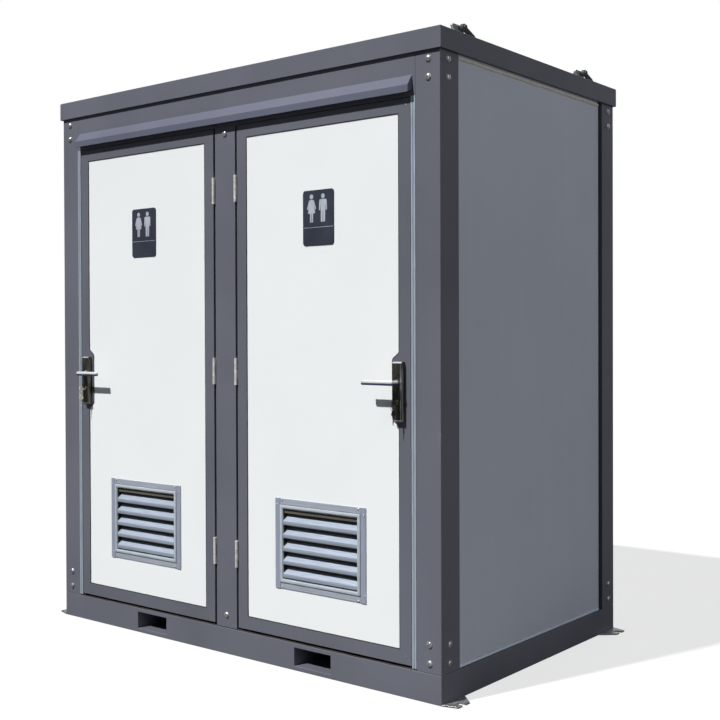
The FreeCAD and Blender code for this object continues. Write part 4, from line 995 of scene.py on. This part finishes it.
def finish_doors():
    """The detail pieces of both doors."""
    both_sides("door_gasket", gasket, "gasket")
    one_side("right", "door_rivets", rivet_spots, "bolt", "galvanised_steel")
    both_sides("hinge_screws", hinge_screws, "hinge", "hinge_steel")
    both_sides("louvre_posts", louvre_posts, "louvre_post", "bare_aluminium", "SIDE_louvre",
               bevel=0.9)
    both_sides("louvre_rails", louvre_rails, "louvre_rail", "bare_aluminium", bevel=0.9)
    both_sides("louvre_seam", louvre_seam, "gasket")
    both_sides("louvre_bead", louvre_bead, "louvre_bead", "bare_aluminium")
    both_sides("louvre_sleeve", louvre_sleeve, "louvre_sleeve")
    both_sides("mesh_fold", mesh_fold, "louvre_back")
    both_sides("louvre_slats", slats, "louvre_slat", "bare_aluminium", smooth=50)
    both_sides("louvre_mesh", louvre_mesh, "louvre_back")
    both_sides("louvre_screws", louvre_screws, "screw", "galvanised_steel")
    both_sides("sign_plate", sign_plate, "sign", "sign_plastic", "SIDE_door_sign")
    one_side("right", "sign_marks", sign_marks, "sign_mark")
    one_side("left", "sign_marks", lambda bm: sign_marks(bm, mirrored=True), "sign_mark")
    both_sides("lock_cover", outer_cover, "lock_cover", "lock_cover", "SIDE_lock_plates")
    both_sides("inner_lock_cover", inner_cover, "lock_cover", "lock_cover")
    # bright strips on the cover's edges: polished edges and a painted highlight
    both_sides("lock_cover_rim", cover_highlight_edges, "chrome", "lever_chrome")
    both_sides("lock_roses", roses, "lock_cover", "lever_chrome")
    both_sides("lever_handle", lever, "lever", "lever_chrome", "SIDE_lever", "SIDE_lever_body",
               smooth=60)
    both_sides("key_plug", key_plug, "brass", "key_steel", body="SIDE_key_body")
    both_sides("thumb_turn", thumb_turn, "chrome", "lock_steel", body="SIDE_key_body", bevel=0.6)
    for side in SIDES:
        one_side(side, "key_blade", key_in_lock, "SIDE_key", "key_steel", "SIDE_key",
                 "SIDE_key_body", bevel=0.3)
        one_side(side, "key_ring", key_ring, "SIDE_key", "key_steel", body="SIDE_spare_key_body")
        one_side(side, "spare_key_blade", spare_key, "SIDE_key", "key_steel", "SIDE_spare_key",
                 "SIDE_spare_key_body", bevel=0.3)


# body of the cabin

# a bolt head's radius, height and socket in millimetres, and the places of the bolts
BOLT_RADIUS = 12
BOLT_HEIGHT = 7
SOCKET = 3.2
BOLT_EDGE = 50 * MM
POST_BOLTS = (140 * MM, 206 * MM, 2182 * MM, 2246 * MM)
MULLION_BOLTS = (158 * MM, 2096 * MM)


def hexagonal(radius, angle):
    """The socket is a hexagon: radii up to its size follow the flats."""
    if radius > SOCKET * MM * 1.01:
        return radius
    part = angle % (math.pi / 3) - math.pi / 6
    return radius * math.cos(math.pi / 6) / math.cos(part)


def add_bolt(bm, centre, axis):
    """A button-head bolt with a thin washer and a hexagon socket."""
    dome = BOLT_RADIUS * 0.97
    stations = [(-0.5, BOLT_RADIUS * 1.08), (0.9, BOLT_RADIUS * 1.08), (1, dome)]
    for i in range(1, 7):
        a = math.radians(90 * i / 7)
        stations.append((1 + (BOLT_HEIGHT - 1) * math.sin(a), dome * math.cos(a) ** 0.8 + 0.2))
    stations += [(BOLT_HEIGHT, SOCKET), (BOLT_HEIGHT - 3.5, SOCKET * 0.97),
                 (BOLT_HEIGHT - 3.8, SOCKET * 0.2)]
    add_lathe(bm, in_mm(*stations), centre, axis, 36, hexagonal)


def bolts(bm):
    """All bolt heads of the frame."""
    x = HALF_WIDTH - BOLT_EDGE
    for z in POST_BOLTS:
        for sign in (1, -1):
            add_bolt(bm, (x * sign, FRONT, z), (0, -1, 0))
            add_bolt(bm, (x * sign, BACK, z), (0, 1, 0))
            for y in (FRONT + BOLT_EDGE, BACK - BOLT_EDGE):
                add_bolt(bm, (HALF_WIDTH * sign, y, z), (sign, 0, 0))
    for z in MULLION_BOLTS:
        add_bolt(bm, (0, FRONT, z), (0, -1, 0))


def foot_trim(bm):
    """The aluminium strip along the foot of the side wall and up its rear edge; its bright bluish
    colour is a painted reflection.
    """
    y0, y1 = WALL[0].y, WALL[1].y
    add_box(bm, (WALL[1].x, y0, WALL[0].z), (TRIMS[1].x, y1, WALL[0].z + 10 * MM))
    add_box(bm, (WALL[1].x, y1 - 5 * MM, WALL[0].z + 10 * MM),
            (TRIMS[1].x - 1 * MM, y1, WALL[1].z - 22 * MM))


def top_seal(bm):
    """A hand-laid bead of sealant under the roof, which wanders a little."""
    count = 90
    path, radii = [], []
    z = WALL[1].z - 14 * MM
    for i in range(count + 1):
        share = i / count
        y = WALL[0].y + (WALL[1].y - WALL[0].y) * share
        drift = math.sin(share * 23.0) * 0.7 + math.sin(share * 57.0 + 1.3) * 0.4
        path.append(Vector((WALL[1].x - 0.5 * MM, y, z + drift * MM)))
        radii.append((5.6 + 0.4 * math.sin(share * 41.0 + 0.4)) * MM)
    add_tube(bm, path, radii, 10, (0, 0, 1), 1.25)


def wall_channel(bm):
    """The dark channel between the side wall and the rear post."""
    add_box(bm, (WALL[0].x, WALL[1].y, WALL[0].z),
            (WALL[1].x - 10 * MM, WALL[1].y + 33 * MM, WALL[1].z))


def jamb_lips(bm):
    """The two raised lips of the closing jamb's front face."""
    width = 8 * MM
    for x in (JAMB[1].x - 19 * MM, JAMB[1].x - width):
        add_box(bm, (x, FRONT - 1.4 * MM, JAMB[0].z), (x + width, FRONT + 0.2 * MM, JAMB[1].z))


def jamb_seal(bm):
    """The rubber cord in the groove between the jamb's lips."""
    x = JAMB[1].x - 11 * MM
    add_box(bm, (x, FRONT - 0.6 * MM, JAMB[0].z), (x + 3 * MM, FRONT + 0.2 * MM, JAMB[1].z))


# the shackles' pins, and a shackle's leg, half width and bar
PIN_X = 1000 * MM
PIN_Y = {"front": -445 * MM, "rear": 465 * MM}
PIN_Z = 2394 * MM
LEG = 66 * MM
SPAN = 18 * MM
BAR = 7 * MM
REST_ANGLE = math.radians(-20)


def shackle(bm, pin_y):
    """A bow shackle: round bar with swelled ends, and its pin with a hexagon head and nut."""
    outline = [(SPAN, LEG * i / 6) for i in range(6)]
    outline += arc((0, LEG), SPAN, 0, 180, 16)
    outline += [(-SPAN, LEG * (5 - i) / 6) for i in range(6)]
    path = [Vector((u, v, 0)) for u, v in outline]
    last = len(path) - 1
    radii = [BAR * (1 + 0.45 * math.cos(math.pi * i / last) ** 2) for i in range(last + 1)]
    add_tube(bm, path, radii, 16)
    for side in (-1, 1):
        add_lathe(bm, in_mm((-8, 11), (-6.5, 13), (6.5, 13), (8, 11)), (SPAN * side, 0, 0),
                  (1, 0, 0), 28)
    add_lathe(bm, [(-SPAN - 9 * MM, 6 * MM), (SPAN + 9 * MM, 6 * MM)], (0, 0, 0), (1, 0, 0), 24)
    for side in (-1, 1):
        add_lathe(bm, in_mm((0, 9.5), (4.5, 9.5), (5.5, 8.6)), ((SPAN + 8 * MM) * side, 0, 0),
                  (side, 0, 0), 6)
    turn = Matrix.Rotation(REST_ANGLE, 4, "X")
    bmesh.ops.transform(bm, matrix=Matrix.Translation((PIN_X, pin_y, PIN_Z)) @ turn,
                        verts=bm.verts)


def finish_body():
    """The detail pieces of the cabin itself."""
    obj = make_piece("frame_bolt_heads", ROOT, "galvanised_steel", "bolt", bolts)
    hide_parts("frame_bolts")
    # the foot trim's bright bluish colour is a painted reflection
    both_sides("foot_trim", foot_trim, "trim_aluminium", "bare_aluminium", body=ROOT, bevel=0.5)
    both_sides("top_seal", top_seal, "sealant", body=ROOT)
    both_sides("wall_channel", wall_channel, "channel", "frame_paint", "wall_trims", ROOT)
    both_sides("jamb_lips", jamb_lips, "bare_aluminium", "bare_aluminium", body=ROOT, bevel=0.4)
    both_sides("jamb_seal", jamb_seal, "jamb_seal", body=ROOT)
    for end, pin_y in PIN_Y.items():
        for side, sign in SIDES.items():
            obj = make_piece(f"{end}_{side}_shackle_bar", f"{end}_{side}_shackle_body",
                             "shackle_paint", "shackle", lambda bm, y=pin_y: shackle(bm, y), sign)
            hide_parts(f"{end}_{side}_shackle")


# surroundings

# each lamp's name, direction it shines along, strength, spread in degrees and colour
LAMPS = (
    ("key_light", (0.20, 0.58, -0.77), 4.85, 1.5, (1.0, 0.985, 0.96)),
    ("fill_light", (-0.93, 0.05, -0.35), 0.78, 60, (1.0, 0.95, 0.92)),
    ("back_light", (0.25, -0.90, -0.35), 0.7, 60, (1.0, 0.98, 0.96)),
)
SKY_COLOUR = (0.64, 0.80, 1.0, 1)
SKY_STRENGTH = 0.095
# the floor's half size in metres, its grey for the camera and for other rays, and its glow
FLOOR_REACH = 30
FLOOR_SEEN = 0.8
FLOOR_BOUNCE = 0.10
FLOOR_WHITE = 0.72


def mix_shaders(tree, factor, first, second):
    """A shader between two others; the factor is a number or a socket."""
    blend = add_node(tree, "ShaderNodeMixShader", {"Fac": factor, 1: first, 2: second})
    return blend.outputs["Shader"]


def diffuse(tree, value):
    """A matt grey shader."""
    grey = (value, value, value, 1)
    return add_node(tree, "ShaderNodeBsdfDiffuse", {"Color": grey}).outputs["BSDF"]


def make_floor():
    """A plain pale floor that shows nearly white to the camera and keeps the soft shadow."""
    bm = bmesh.new()
    corners = rectangle(((0, 0), (0, 0)), FLOOR_REACH)
    bm.faces.new([bm.verts.new((x, y, 0)) for x, y in corners])
    floor = place_mesh("floor", bm)
    material = bpy.data.materials.new("floor_paint")
    material.use_nodes = True
    tree = material.node_tree
    tree.nodes.clear()
    white = add_node(tree, "ShaderNodeEmission")
    rays = add_node(tree, "ShaderNodeLightPath")
    seen = mix_shaders(tree, FLOOR_WHITE, diffuse(tree, FLOOR_SEEN), white.outputs["Emission"])
    whole = mix_shaders(tree, rays.outputs["Is Camera Ray"], diffuse(tree, FLOOR_BOUNCE), seen)
    add_node(tree, "ShaderNodeOutputMaterial", {"Surface": whole})
    floor.data.materials.append(material)


def make_world():
    """Even studio light, with a white backdrop for the camera and through glass."""
    world = bpy.data.worlds.new("studio")
    bpy.context.scene.world = world
    world.use_nodes = True
    tree = world.node_tree
    light = tree.nodes["Background"]
    light.inputs["Color"].default_value = SKY_COLOUR
    light.inputs["Strength"].default_value = SKY_STRENGTH
    white = add_node(tree, "ShaderNodeBackground", {"Color": (1, 1, 1, 1)})
    rays = add_node(tree, "ShaderNodeLightPath").outputs
    either = add_node(tree, "ShaderNodeMath", {0: rays["Is Camera Ray"],
                                               1: rays["Is Transmission Ray"]},
                      operation="MAXIMUM")
    whole = mix_shaders(tree, either.outputs["Value"], light.outputs["Background"],
                        white.outputs["Background"])
    tree.links.new(whole, tree.nodes["World Output"].inputs["Surface"])


def make_lamp(name, run, strength, spread, colour):
    """A distant lamp; its spread softens the shadow."""
    lamp = bpy.data.lights.new(name, "SUN")
    lamp.energy = strength
    lamp.angle = math.radians(spread)
    lamp.color = colour
    obj = place(name, lamp)
    obj.rotation_mode = "QUATERNION"
    obj.rotation_quaternion = Vector(run).to_track_quat("-Z", "Y")


# the photograph's camera: place in metres, turns in radians, lens and centre in its pixels
CAMERA_PLACE = (3.3050, -3.8223, 1.2909)
CAMERA_YAW = 0.664
CAMERA_PITCH = -0.010
CAMERA_ROLL = -0.003
FOCAL_PIXELS = 1125.75
PHOTO_PIXELS = 720
CENTRE_PIXEL = (386.45, 345.05)
SENSOR = 36


def make_camera():
    """The photograph's camera."""
    data = bpy.data.cameras.new("camera")
    data.sensor_width = SENSOR
    data.lens = FOCAL_PIXELS / PHOTO_PIXELS * SENSOR
    data.shift_x = (PHOTO_PIXELS / 2 - CENTRE_PIXEL[0]) / PHOTO_PIXELS
    data.shift_y = (CENTRE_PIXEL[1] - PHOTO_PIXELS / 2) / PHOTO_PIXELS
    data.clip_start = 0.05
    data.clip_end = 200
    obj = place("camera", data)
    turn = (Matrix.Rotation(CAMERA_YAW, 4, "Z")
            @ Matrix.Rotation(math.pi / 2 + CAMERA_PITCH, 4, "X")
            @ Matrix.Rotation(CAMERA_ROLL, 4, "Z"))
    obj.matrix_world = Matrix.Translation(CAMERA_PLACE) @ turn
    bpy.context.scene.camera = obj


finish_nodes()
finish_doors()
finish_body()
make_floor()
make_world()
for lamp in LAMPS:
    make_lamp(*lamp)
make_camera()
bpy.context.scene.view_settings.view_transform = "Standard"
